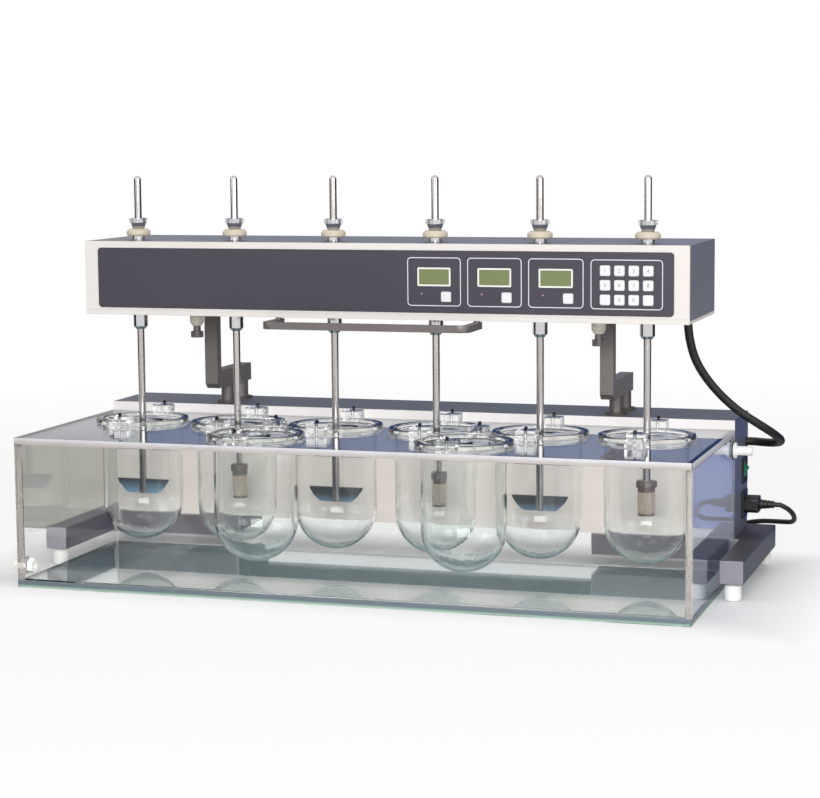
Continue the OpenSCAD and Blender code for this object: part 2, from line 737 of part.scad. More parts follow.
// Head: base plate with bearing bosses, folded cover, front panel
module head_chassis() color("ivory") difference() {
    union() {
        box([-head_w / 2, panel_back, head_z], [head_w / 2, head_back, chassis_top]);
        box([-head_w / 2, head_face + 0.5, head_z], [head_w / 2, panel_back + cut, lip_top]);
        at_stirrers() translate([0, 0, head_z]) cylinder(d = bearing_d + 2 * boss_wall, h = boss_top - head_z);
    }
    at_stirrers() {
        translate([0, 0, head_z - cut]) cylinder(d = neck_hole_d, h = chassis_t + 2 * cut);
        translate([0, 0, chassis_top]) cylinder(d = bearing_d + 2 * run_fit, h = boss_h + cut);
    }
    translate([conduit_x, conduit_y, head_z - cut])
        cylinder(d = conduit_d + 2 * slip_fit, h = chassis_t + 2 * cut);
}

module head_cover() color("slategray") difference() {
    box([-head_w / 2, panel_back, chassis_top], [head_w / 2, head_back, head_top]);
    box([-head_w / 2 + sheet_t, panel_back - cut, chassis_top - cut],
        [head_w / 2 - sheet_t, head_back - sheet_t, head_top - sheet_t]);
    box([-head_w / 2 - cut, panel_back - cut, chassis_top - cut],
        [head_w / 2 + cut, panel_back + cut, lip_top]);
    at_stirrers() translate([0, 0, head_top - sheet_t - cut])
        cylinder(d = neck_hole_d, h = sheet_t + 2 * cut);
}

module panel_holes() translate([0, head_z]) {
    for (i = [1:displays]) {
        translate([display_place(i), display_z])
            square([display_w + 2 * slip_fit, display_h + 2 * slip_fit], center = true);
        translate(set_key_place(i)) key_outline(key_hole);
    }
    for (k = [1:keypad_cols * keypad_rows]) translate(keypad_place(k)) key_outline(key_hole);
}

module head_panel() color("ivory") upright(head_face, panel_t) difference() {
    translate([-head_w / 2, lip_top]) square([head_w, head_top - lip_top]);
    panel_holes();
}

module panel_overlay() color("dimgray") upright(overlay_face, overlay_t) difference() {
    translate([0, head_z + overlay_z]) rounded(overlay_w, overlay_h, 5);
    panel_holes();
}

// Circuit board on standoffs behind the panel, with the three display modules
module control_board() color("darkgreen") {
    left = display_place(1) - display_w / 2 - board_margin;
    right = keypad_x + 2 * keypad_pitch + board_margin;
    low = lip_top + 6;
    high = head_top - sheet_t - 8;
    box([left, board_y, low], [right, board_y + board_t, high]);
    for (i = [1:displays])
        translate([display_place(i), 0, head_z + display_z]) box(
            [-display_w / 2, overlay_face + overlay_t / 2, -display_h / 2],
            [display_w / 2, board_y + cut, display_h / 2]);
    for (x = [left + standoff_d, right - standoff_d], z = [low + standoff_d, high - standoff_d])
        translate([x, board_y + cut, z]) rotate([90, 0, 0])
            cylinder(d = standoff_d, h = board_y + cut - panel_back);
}

module key_cap(place) color("gainsboro") translate([place.x, 0, head_z + place.y]) union() {
    upright(overlay_face - key_rise + 0.5, key_back - overlay_face + key_rise - 0.5) key_outline(key_s);
    upright(overlay_face - key_rise, 1) key_outline(key_s - 1.2);
}
module key_outline(s) {
    rounded(s, s, key_corner * s / key_s);
}

// Drive: motor, its pulley, the belt, and two bearings to each spindle
module drive_motor() color("silver") translate([0, motor_y, chassis_top]) difference() {
    flange = motor_d + 4;
    union() {
        translate([-flange / 2, -flange / 2, 0]) cube([flange, flange, 4]);
        translate([0, 0, 4 - cut]) cylinder(d = motor_d, h = motor_h + cut);
    }
    translate([0, 0, motor_h / 2]) cylinder(d = motor_shaft_d + 2 * run_fit, h = motor_h);
}

module drive_pulley() color("silver") translate([0, motor_y, 0]) union() {
    translate([0, 0, chassis_top + motor_h / 2 + slip_fit])
        cylinder(d = motor_shaft_d, h = pulley_z + pulley_h + 2 - chassis_top - motor_h / 2);
    translate([0, 0, pulley_z]) toothed(drive_d, drive_teeth, tooth, pulley_h);
}

module belt_loop(gap) hull() {
    for (x = [stir_x(1), stir_x(stirrers)]) translate([x, 0]) circle(pulley_d / 2 + gap, $fn = 48);
    translate([0, motor_y]) circle(drive_d / 2 + gap, $fn = 48);
}
module drive_belt() color("black") translate([0, 0, belt_z]) linear_extrude(belt_w) difference() {
    belt_loop(slip_fit + belt_t);
    belt_loop(slip_fit);
}

module spindle_bearings() color("silver") at_stirrers()
    for (z = [chassis_top, boss_top - bearing_w])
        translate([0, 0, z]) ring(bearing_d, tube_d + 2 * run_fit, bearing_w);

// Spindle: tube and chuck in one, belt pulley, hand wheel and collet nut as separate pieces
module spindle(i) translate([stir_x(i), 0, 0]) {
    bore_r = rod_d / 2 + run_fit;
    seat_d = tube_d + 2 * run_fit;
    chuck_low = head_z - chuck_len;
    chuck_top = head_z - 0.5;
    color("silver") rotate_extrude() polygon([[bore_r, chuck_low], [bore_r + 1.5, chuck_low],
        [chuck_d / 2, chuck_low + chuck_cone], [chuck_d / 2, chuck_top], [tube_d / 2, chuck_top],
        [tube_d / 2, tube_top], [bore_r, tube_top]]);
    color("gray") translate([0, 0, pulley_z]) difference() {
        toothed(pulley_d, pulley_teeth, tooth, pulley_h);
        translate([0, 0, -cut]) cylinder(d = seat_d, h = pulley_h + 2 * cut);
    }
    color("ivory") rotate_extrude() polygon([[seat_d / 2, wheel_z], [wheel_neck_d / 2, wheel_z],
        [wheel_neck_d / 2, wheel_z + wheel_neck], [wheel_d / 2 - 2, wheel_z + wheel_neck],
        [wheel_d / 2, wheel_z + wheel_neck + 2], [wheel_d / 2, wheel_top - 3],
        [wheel_d / 2 - 3, wheel_top], [seat_d / 2, wheel_top]]);
    color("silver") difference() {
        union() {
            translate([0, 0, wheel_top + run_fit]) cylinder(d1 = nut_foot_d, d2 = nut_d, h = nut_h);
            translate([0, 0, wheel_top + nut_h]) toothed(ring_d, 40, 0.6, ring_t);
        }
        translate([0, 0, wheel_top - cut]) cylinder(r = bore_r, h = nut_h + ring_t + 2 * cut);
    }
}

// Stirrers: rod with a paddle (1, 3, 5) or a basket under its cap (2, 4, 6)
module rod(low) translate([0, 0, low]) {
    cylinder(d = rod_d, h = tip_z - rod_d / 2 - low);
    translate([0, 0, tip_z - rod_d / 2 - low]) sphere(d = rod_d);
}
module paddle() {
    rise = (pow(paddle_w / 2, 2) - pow(paddle_foot_w / 2, 2) - pow(paddle_h, 2)) / (2 * paddle_h);
    edge_r = norm([rise, paddle_w / 2]);
    intersection() {
        translate([0, 0, foot_z + paddle_h + rise]) rotate([90, 0, 0])
            cylinder(r = edge_r, h = paddle_t, center = true);
        translate([-paddle_w / 2, -paddle_t, foot_z]) cube([paddle_w, 2 * paddle_t, paddle_h]);
    }
}
module basket() {
    band = (basket_h - 12) / 3;
    translate([0, 0, foot_z]) difference() {
        cylinder(d = basket_d, h = basket_h);
        translate([0, 0, basket_wall]) cylinder(d = basket_d - 2 * basket_wall, h = basket_h);
        for (k = [0:2], s = [0:basket_slots / 2 - 1]) rotate(360 * s / basket_slots)
            translate([-basket_d, -basket_slot_w / 2, 2 + k * (band + 1)])
                cube([2 * basket_d, basket_slot_w, band]);
    }
}
module basket_cap() translate([0, 0, foot_z + basket_h - 5]) difference() {
    cylinder(d = basket_cap_d, h = basket_cap_h);
    translate([0, 0, -cut]) cylinder(d = basket_d + 2 * run_fit, h = 5 + cut + run_fit);
}
module stirrer(i) color("silver") translate([stir_x(i), 0, 0])
    if (i % 2 == 1) union() {
        rod(foot_z);
        paddle();
    } else {
        union() {
            rod(foot_z + basket_h);
            basket_cap();
        }
        basket();
    }

// Handle: a bar bent to a U under the head, its legs screwed to the underside
module lifting_handle() color("dimgray") translate([0, 0, head_z - handle_drop - handle_bar]) {
    linear_extrude(handle_bar) difference() {
        handle_outline(0);
        handle_outline(handle_bar);
        translate([-2 * handle_half, -handle_stop]) square([4 * handle_half, 4 * handle_reach]);
    }
    for (s = [-1, 1]) translate([s * (handle_half - handle_bar / 2), -handle_stop - handle_bar, handle_bar / 2])
        cylinder(d = handle_bar - 1, h = handle_bar / 2 + handle_drop);
}
module handle_outline(inset) {
    long = 2 * (handle_reach - handle_stop);
    translate([0, long / 2 - handle_reach])
        rounded(2 * (handle_half - inset), long - 2 * inset, handle_bend - inset);
}

// Adjusters under the head, in front of the arms: fixed sleeve, turning screw
module adjuster_sleeves() color("beige") for (s = [-1, 1]) translate([s * post_x, adjuster_y, 0])
    rotate_extrude() polygon([[neck_d / 2 - 2 + run_fit, head_z], [neck_d / 2 - 2 + run_fit, head_z - sleeve_h],
        [neck_d / 2 + 1.5, head_z - sleeve_h], [sleeve_d / 2, head_z - sleeve_h + 5], [sleeve_d / 2, head_z]]);
module thumb_screw(s) color("dimgray") translate([s * post_x, adjuster_y, 0]) {
    neck_top = head_z - sleeve_h - slip_fit;
    translate([0, 0, neck_top - neck_h]) cylinder(d = neck_d, h = neck_h);
    translate([0, 0, neck_top - cut]) cylinder(d = neck_d - 4, h = sleeve_h);
    translate([0, 0, neck_top - neck_h - disc_t]) toothed(disc_d, 36, 0.6, disc_t + cut);
}

// Cords
module head_conduit() color("black") swept_tube(conduit_route, conduit_d, 10, [1, 0, 0]);

module mains_connector() color("black") {
    translate([side_x + entry_bezel, entry_y, inlet_z]) {
        box([-socket_d + 3, -socket_w / 2 + slip_fit, -socket_h / 2 + slip_fit],
            [cut, socket_w / 2 - slip_fit, socket_h / 2 - slip_fit]);
        rotate([90, 0, 90]) translate([0, 0, slip_fit])
            linear_extrude(connector_front - side_x - entry_bezel - slip_fit)
                rounded(socket_w + 3, socket_h + 4, 5);
    }
    translate([connector_front, entry_y, inlet_z]) rotate([0, 90, 0]) strain_relief(relief_len);
}
// Ribbed strain relief along +Z, from a body to the lead
module strain_relief(h) {
    ribs = 4;
    cylinder(d1 = lead_d + 6, d2 = lead_d + 2, h = h);
    for (k = [0:ribs - 1]) translate([0, 0, (k + 0.2) * h / ribs])
        cylinder(d = lead_d + 6.6 - k * 1.1, h = h / ribs / 2);
}
module mains_lead() color("black") swept_tube(lead_route, lead_d, 8, [0, 0, 1]);
module mains_coil() color("black") swept_tube(
    concat(coil_points, [coil_end + [lead_d, 0, 0], coil_end + [plug_lead, 0, 0]]), lead_d, coil_sides, [0, 0, 1]);

// Plug on the bench beside the coil: moulded body and three flat pins
module mains_plug() color("black") translate(coil_end + [plug_lead, 0, 0]) {
    half = coil_end.z;
    rotate([0, 90, 0]) strain_relief(plug_relief);
    translate([plug_relief, 0, 0]) rotate([90, 0, 90]) linear_extrude(plug_body.x)
        rounded(plug_body.y, 2 * half, 6);
    color("silver") for (a = [0, 120, 240]) translate([plug_relief + plug_body.x - cut, 0, 0])
        rotate([a, 0, 0]) translate([0, -3, 5]) cube([plug_pin + cut, 6, 1.6]);
}

base_frame();
base_feet();
rear_housing();
rear_panel();
guide_bushes();
circulation_heater();
water_tank();
vessel_plate();
vessels();
vessel_clips();
tank_nozzles();
power_entry();
switch_rocker();
guide_posts();
support_arms();
head_chassis();
head_cover();
head_panel();
panel_overlay();
control_board();
drive_motor();
drive_pulley();
drive_belt();
spindle_bearings();
adjuster_sleeves();
thumb_screw(-1);  // thumb_screw_left
thumb_screw(1);  // thumb_screw_right
lifting_handle();
for (i = [1:6]) spindle(i);
for (i = [1:6]) stirrer(i);
for (i = [1:12]) key_cap(keypad_place(i));
for (i = [1:3]) key_cap(set_key_place(i));
head_conduit();
mains_connector();
mains_lead();
mains_coil();
mains_plug();
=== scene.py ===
# %% [markdown]
# # Dressing a dissolution tester
# The CAD model already holds every part of this bench instrument at its true size. This lesson loads it as a
# fixed frame, sets the camera, lays the cords, and then gives each surface its finish. All places are in
# millimetres in the text and in metres in Blender, in the frame of the CAD model: X to the right along the row
# of stirrers, Y to the back, Z up, with the bench at zero.

# %% Load the frame
import bpy
import bmesh
from math import cos, radians, sin, sqrt
from mathutils import Matrix, Vector


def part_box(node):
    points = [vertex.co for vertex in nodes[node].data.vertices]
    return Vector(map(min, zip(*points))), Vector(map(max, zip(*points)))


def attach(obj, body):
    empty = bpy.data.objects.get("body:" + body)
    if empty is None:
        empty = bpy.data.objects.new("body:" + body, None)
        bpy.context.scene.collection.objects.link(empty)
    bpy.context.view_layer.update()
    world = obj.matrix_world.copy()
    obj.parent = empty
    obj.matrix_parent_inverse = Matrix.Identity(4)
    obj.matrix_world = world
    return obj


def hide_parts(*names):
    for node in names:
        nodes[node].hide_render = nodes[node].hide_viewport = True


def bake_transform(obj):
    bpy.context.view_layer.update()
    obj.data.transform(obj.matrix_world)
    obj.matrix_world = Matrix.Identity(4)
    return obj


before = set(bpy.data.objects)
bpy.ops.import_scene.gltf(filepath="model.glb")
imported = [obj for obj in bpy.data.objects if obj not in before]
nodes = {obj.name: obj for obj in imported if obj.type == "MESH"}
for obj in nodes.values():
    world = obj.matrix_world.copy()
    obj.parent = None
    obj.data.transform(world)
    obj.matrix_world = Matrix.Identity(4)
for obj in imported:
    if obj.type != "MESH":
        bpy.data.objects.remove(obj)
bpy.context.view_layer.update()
MM = 0.001

# %% [markdown]
# The photograph was taken from the right of the machine and a little above it, with a long lens. Its place, its
# turn and its lens were worked out from edges whose sizes are known, such as the standard vessels. The camera
# is turned by three axes of its own: right, up and back.

# %% Camera
yaw, pitch, roll = radians(17.726), radians(-6.9175), radians(-0.4878)
forward = Vector((-sin(yaw) * cos(pitch), cos(yaw) * cos(pitch), sin(pitch)))
level = Vector((cos(yaw), sin(yaw), 0))
upright = level.cross(forward)
right = level * cos(roll) + upright * sin(roll)
up = upright * cos(roll) - level * sin(roll)
photo_width, focal_pixels, sensor_mm = 820, 2218.16, 36
bpy.ops.object.camera_add(location=Vector((901.2, -2715.2, 580.6)) * MM)
camera = bpy.context.object
camera.rotation_euler = Matrix((right, up, -forward)).transposed().to_euler()
camera.data.sensor_fit = "HORIZONTAL"
camera.data.sensor_width = sensor_mm
camera.data.lens = focal_pixels / photo_width * sensor_mm
camera.data.clip_end = 50
bpy.context.scene.camera = camera
bpy.context.scene.view_settings.view_transform = "Standard"
print("lens", round(camera.data.lens, 1), "mm")

# %% [markdown]
# Every finish below is a small tree of nodes. One function adds a node, sets its options and fills its inputs
# with values or links: a node that is given as an input stands for its first live output. Another function
# turns the hex colours of a colour picker into linear light.

# %% Helpers for finishes
def linear(hex_colour):
    parts = [int(hex_colour[i:i + 2], 16) / 255 for i in (1, 3, 5)]
    return tuple(c / 12.92 if c <= 0.04045 else ((c + 0.055) / 1.055) ** 2.4 for c in parts) + (1,)


def put(tree, kind, inputs=None, **options):
    node = tree.nodes.new(kind)
    for name, value in options.items():
        setattr(node, name, value)
    for name, value in (inputs or {}).items():
        if isinstance(value, bpy.types.Node):
            value = next(socket for socket in value.outputs if socket.enabled)
        if isinstance(value, bpy.types.NodeSocket):
            tree.links.new(value, node.inputs[name])
        else:
            node.inputs[name].default_value = value
    return node


def new_finish(name):
    finish = bpy.data.materials.new(name)
    finish.use_nodes = True
    tree = finish.node_tree
    tree.nodes.clear()
    place = put(tree, "ShaderNodeTexCoord").outputs["Object"]
    return finish, tree, place


def per_mm(size):
    return 1000 / size


def wear(piece, finish):
    piece.data.materials.clear()
    piece.data.materials.append(finish)


print("mid grey in linear light", round(linear("#808080")[0], 3))

# %% [markdown]
# The front panel and the rear panel are sheet steel with one ivory stove enamel. Enamel has a faint orange peel,
# about two millimetres from crest to crest, and its colour drifts a little over a hand's width. The enamel comes in
# two copies: the head's is painted a shade deeper as painted shade, and the rear panel's paler, as painted light for
# the bath's light that washes it.

# %% Ivory enamel
ivory_enamel = {}
# One enamel in two copies: the head's is painted deeper as shade, and the rear's paler as painted light.
for where, deep, pale in (("head", "#DFD9D4", "#E7E2DD"), ("rear", "#F7F2EE", "#FEFAF7")):
    finish, tree, place = new_finish(f"ivory stove enamel, {where}")
    drift = put(tree, "ShaderNodeTexNoise", {"Vector": place, "Scale": per_mm(90), "Detail": 2.0})
    tone = put(tree, "ShaderNodeMix", {"Factor": drift, "A": linear(deep), "B": linear(pale)}, data_type="RGBA")
    peel = put(tree, "ShaderNodeTexNoise", {"Vector": place, "Scale": per_mm(2), "Detail": 1.0})
    bump = put(tree, "ShaderNodeBump", {"Height": peel, "Strength": 0.06, "Distance": 0.0004})
    gloss = put(tree, "ShaderNodeMapRange", {"Value": drift, "To Min": 0.32, "To Max": 0.42})
    shader = put(tree, "ShaderNodeBsdfPrincipled", {"Base Color": tone, "Roughness": gloss, "Normal": bump,
                 "IOR": 1.5})
    put(tree, "ShaderNodeOutputMaterial", {"Surface": shader})
    ivory_enamel[where] = finish
print("finishes", [finish.name for finish in ivory_enamel.values()])

# %% [markdown]
# The covers of the head and of the rear housing are sprayed in one slate blue with a fine grain, which breaks up the
# highlights. The grain is drawn at a millimetre and a half, coarser than the real one, so that it still shows. The
# paint comes in two copies: the housing's is painted a shade darker than the head's, as painted shade. Anodised metal
# and moulded plastics share this tree, so it is a function: a slow drift between two shades, and a fine grain that
# lifts the surface and scatters its gloss. Drift and grain are given by size in millimetres and detail, the lift by
# strength and height in metres.

# %% Slate blue cover paint
def grained(name, shades, drift, grain, lift, gloss, metallic=0.0):
    finish, tree, place = new_finish(name)
    slow = put(tree, "ShaderNodeTexNoise", {"Vector": place, "Scale": per_mm(drift[0]), "Detail": drift[1]})
    tone = put(tree, "ShaderNodeMix", {"Factor": slow, "A": linear(shades[0]), "B": linear(shades[1])},
               data_type="RGBA")
    fine = put(tree, "ShaderNodeTexNoise", {"Vector": place, "Scale": per_mm(grain[0]), "Detail": grain[1]})
    bump = put(tree, "ShaderNodeBump", {"Height": fine, "Strength": lift[0], "Distance": lift[1]})
    rough = put(tree, "ShaderNodeMapRange", {"Value": fine, "To Min": gloss[0], "To Max": gloss[1]})
    shader = put(tree, "ShaderNodeBsdfPrincipled", {"Base Color": tone, "Metallic": metallic, "Roughness": rough,
                 "Normal": bump, "IOR": 1.5})
    put(tree, "ShaderNodeOutputMaterial", {"Surface": shader})
    return finish


slate_paint = {}
# The rear copy is the same slate paint, painted a shade darker as painted shade.
for where, shades in (("head", ("#6C707E", "#7A7E8B")), ("rear", ("#595D6A", "#666A77"))):
    slate_paint[where] = grained(f"slate blue textured paint, {where}", shades, drift=(120, 3.0), grain=(1.5, 2.0),
                                 lift=(0.12, 0.0004), gloss=(0.34, 0.5))
print("finishes", [finish.name for finish in slate_paint.values()])

# %% [markdown]
# The control overlay is a polyester film, printed slate violet on its back and matt on its front. Its texture
# is a fine pebble.

# %% Overlay film
overlay_film, tree, place = new_finish("printed polyester film")
drift = put(tree, "ShaderNodeTexNoise", {"Vector": place, "Scale": per_mm(140), "Detail": 2.0})
tone = put(tree, "ShaderNodeMix", {"Factor": drift, "A": linear("#35333D"), "B": linear("#3F3C47")}, data_type="RGBA")
pebble = put(tree, "ShaderNodeTexVoronoi", {"Vector": place, "Scale": per_mm(1.1)})
bump = put(tree, "ShaderNodeBump", {"Height": pebble, "Strength": 0.05, "Distance": 0.0003})
gloss = put(tree, "ShaderNodeMapRange", {"Value": pebble, "To Min": 0.42, "To Max": 0.55})
shader = put(tree, "ShaderNodeBsdfPrincipled", {"Base Color": tone, "Roughness": gloss, "Normal": bump, "IOR": 1.5})
put(tree, "ShaderNodeOutputMaterial", {"Surface": shader})
print("finish", overlay_film.name)

# %% [markdown]
# The arms, their posts, the handle and the thumb screws are aluminium, blasted and anodised in a warm dark
# grey. The oxide is a thin glassy skin over metal, so the finish is partly metallic and soft in its highlights.

# %% Grey anodised aluminium
anodised_grey = grained("grey anodised aluminium", ("#6E6866", "#7E7775"), drift=(60, 3.0), grain=(0.9, 1.0),
                        lift=(0.1, 0.0003), gloss=(0.38, 0.52), metallic=0.55)
print("finish", anodised_grey.name)

# %% [markdown]
# The base beams are one CAD part in blue grey paint, and their light and shade are painted in by which way a face
# points: what faces the front or the back is painted pale as lit, the tops are painted dark as shade, and the sides a
# dark navy, painted shade and reflection of the blue surroundings. The base never moves, so the Normal of Geometry,
# which belongs to the room, serves for that.

# %% Blue grey base with light and shade painted by facing
base_paint, tree, place = new_finish("blue grey paint with light painted by facing")
drift = put(tree, "ShaderNodeTexNoise", {"Vector": place, "Scale": per_mm(70), "Detail": 3.0})
facing = put(tree, "ShaderNodeSeparateXYZ", {"Vector": put(tree, "ShaderNodeNewGeometry").outputs["Normal"]})
depth = put(tree, "ShaderNodeMath", {0: facing.outputs["Y"]}, operation="ABSOLUTE")
# Painted light and shade by facing: front and back faces are painted pale as lit, sides a navy painted shade and
# reflection, tops dark as shade.
cap = put(tree, "ShaderNodeMapRange", {"Value": depth, "From Min": 0.5, "From Max": 0.8})
rise = put(tree, "ShaderNodeMapRange", {"Value": facing.outputs["Z"], "From Min": 0.3, "From Max": 0.8})
side = put(tree, "ShaderNodeMix", {"Factor": rise, "A": linear("#1E2438"), "B": linear("#3E3B3D")}, data_type="RGBA")
tone = put(tree, "ShaderNodeMix", {"Factor": cap, "A": side, "B": linear("#8E8B91")}, data_type="RGBA")
shade = put(tree, "ShaderNodeMapRange", {"Value": drift, "To Min": 0.85, "To Max": 1.1})
tone = put(tree, "ShaderNodeVectorMath", {0: tone, 3: shade}, operation="SCALE")
flake = put(tree, "ShaderNodeTexNoise", {"Vector": place, "Scale": per_mm(1.2), "Detail": 2.0})
bump = put(tree, "ShaderNodeBump", {"Height": flake, "Strength": 0.1, "Distance": 0.0003})
gloss = put(tree, "ShaderNodeMapRange", {"Value": flake, "To Min": 0.34, "To Max": 0.48})
shader = put(tree, "ShaderNodeBsdfPrincipled", {"Base Color": tone, "Roughness": gloss, "Normal": bump, "IOR": 1.5})
put(tree, "ShaderNodeOutputMaterial", {"Surface": shader})
print("finish", base_paint.name)

# %% [markdown]
# The stirrer rods are stainless steel, ground between centres. The wheel leaves fine rings round the rod, so the
# pattern is stretched: coarse across, fine along the axis. A paddle stirrer has the same rod and a steel blade whose
# colour is a painted reflection: blue, painted darker towards its top, bluest on the first of the three and painted
# darker on the others. The blade is what lies low down and away from the rod's axis, and since the paddles stand
# every 276 mm, the distance to the axis is wrapped to that pitch. So one tree makes both.

# %% Ground stainless steel, with and without a painted reflection on the blade
steel = {}
paddle_x, paddle_pitch, rod_reach = -69 * MM, 276 * MM, 4.9 * MM
painted_bluest_x, painted_darkest_x = -300 * MM, -110 * MM
blade_low, blade_high, blade_end = 97 * MM, 115 * MM, 116.5 * MM
for name, reflection_painted in (("ground stainless steel", 0.0), ("ground steel with blued blade", 1.0)):
    finish, tree, place = new_finish(name)
    stretch = put(tree, "ShaderNodeMapping", {"Vector": place, "Scale": (0.05, 0.05, 1.0)})
    rings = put(tree, "ShaderNodeTexNoise", {"Vector": stretch, "Scale": per_mm(0.8), "Detail": 3.0})
    axes = put(tree, "ShaderNodeSeparateXYZ", {"Vector": place})
    wrapped = put(tree, "ShaderNodeMath", {0: axes.outputs["X"], 1: paddle_x + paddle_pitch / 2,
                  2: paddle_x - paddle_pitch / 2}, operation="WRAP")
    on_rod = put(tree, "ShaderNodeMath", {0: wrapped, 1: paddle_x, 2: rod_reach}, operation="COMPARE")
    low_down = put(tree, "ShaderNodeMath", {0: axes.outputs["Z"], 1: blade_end}, operation="LESS_THAN")
    blade = put(tree, "ShaderNodeMath", {0: low_down, 1: on_rod}, operation="SUBTRACT", use_clamp=True)
    blade = put(tree, "ShaderNodeMath", {0: blade, 1: reflection_painted}, operation="MULTIPLY")
    tone = put(tree, "ShaderNodeMix", {"Factor": rings, "A": linear("#B0ABA8"), "B": linear("#C8C4C2")},
               data_type="RGBA")
    # Painted reflection on the blade: blue, painted darker towards the top and on the later paddles.
    painted_darkening = put(tree, "ShaderNodeMapRange", {"Value": axes.outputs["Z"], "From Min": blade_low,
               "From Max": blade_high})
    painted_dark_by_x = put(tree, "ShaderNodeMapRange", {"Value": axes.outputs["X"], "From Min": painted_bluest_x,
                 "From Max": painted_darkest_x, "To Max": 0.45})
    painted_darkening = put(tree, "ShaderNodeMath", {0: painted_darkening, 1: painted_dark_by_x}, use_clamp=True)
    blue = put(tree, "ShaderNodeMix", {"Factor": painted_darkening, "A": linear("#7DA2BC"), "B": linear("#46494D")},
               data_type="RGBA")
    tone = put(tree, "ShaderNodeMix", {"Factor": blade, "A": tone, "B": blue}, data_type="RGBA")
    metal = put(tree, "ShaderNodeMapRange", {"Value": blade, "To Min": 1.0, "To Max": 0.7})
    bump = put(tree, "ShaderNodeBump", {"Height": rings, "Strength": 0.015, "Distance": 0.0002})
    gloss = put(tree, "ShaderNodeMapRange", {"Value": rings, "To Min": 0.11, "To Max": 0.18})
    gloss = put(tree, "ShaderNodeMix", {"Factor": blade, "A": gloss, "B": 0.35}, data_type="FLOAT")
    shader = put(tree, "ShaderNodeBsdfPrincipled", {"Base Color": tone, "Metallic": metal, "Roughness": gloss,
                 "Normal": bump})
    put(tree, "ShaderNodeOutputMaterial", {"Surface": shader})
    steel[name] = finish
print("finishes", list(steel))

# %% [markdown]
# A spindle is several turned parts in one CAD node: chromed chuck and collet nut, and between them a hand wheel
# of ivory plastic. One finish serves all of it, because the height alone says which part it is.

# %% Chrome with an ivory hand wheel
spindle_finish, tree, place = new_finish("chrome with ivory hand wheel")
wheel_low, wheel_high = 443.55 * MM, 452.61 * MM
height = put(tree, "ShaderNodeSeparateXYZ", {"Vector": place}).outputs["Z"]
above = put(tree, "ShaderNodeMath", {0: height, 1: wheel_low}, operation="GREATER_THAN")
below = put(tree, "ShaderNodeMath", {0: height, 1: wheel_high}, operation="LESS_THAN")
wheel = put(tree, "ShaderNodeMath", {0: above, 1: below}, operation="MULTIPLY")
smudge = put(tree, "ShaderNodeTexNoise", {"Vector": place, "Scale": per_mm(9), "Detail": 4.0})
tone = put(tree, "ShaderNodeMix", {"Factor": wheel, "A": linear("#CFCED0"), "B": linear("#DACDB8")}, data_type="RGBA")
metal = put(tree, "ShaderNodeMath", {0: 1.0, 1: wheel}, operation="SUBTRACT")
shine = put(tree, "ShaderNodeMapRange", {"Value": smudge, "To Min": 0.06, "To Max": 0.16})
gloss = put(tree, "ShaderNodeMix", {"Factor": wheel, "A": shine, "B": 0.38}, data_type="FLOAT")
shader = put(tree, "ShaderNodeBsdfPrincipled", {"Base Color": tone, "Metallic": metal, "Roughness": gloss})
put(tree, "ShaderNodeOutputMaterial", {"Surface": shader})
print("finish", spindle_finish.name)

# %% [markdown]
# The clip screws are plated in black nickel, a smoky metal that keeps only the brightest lights.

# %% Black nickel
black_nickel, tree, place = new_finish("black nickel plate")
haze = put(tree, "ShaderNodeTexNoise", {"Vector": place, "Scale": per_mm(2), "Detail": 3.0})
tone = put(tree, "ShaderNodeMix", {"Factor": haze, "A": linear("#26262A"), "B": linear("#3A393E")}, data_type="RGBA")
gloss = put(tree, "ShaderNodeMapRange", {"Value": haze, "To Min": 0.1, "To Max": 0.25})
shader = put(tree, "ShaderNodeBsdfPrincipled", {"Base Color": tone, "Metallic": 1.0, "Roughness": gloss})
put(tree, "ShaderNodeOutputMaterial", {"Surface": shader})
print("finish", black_nickel.name)
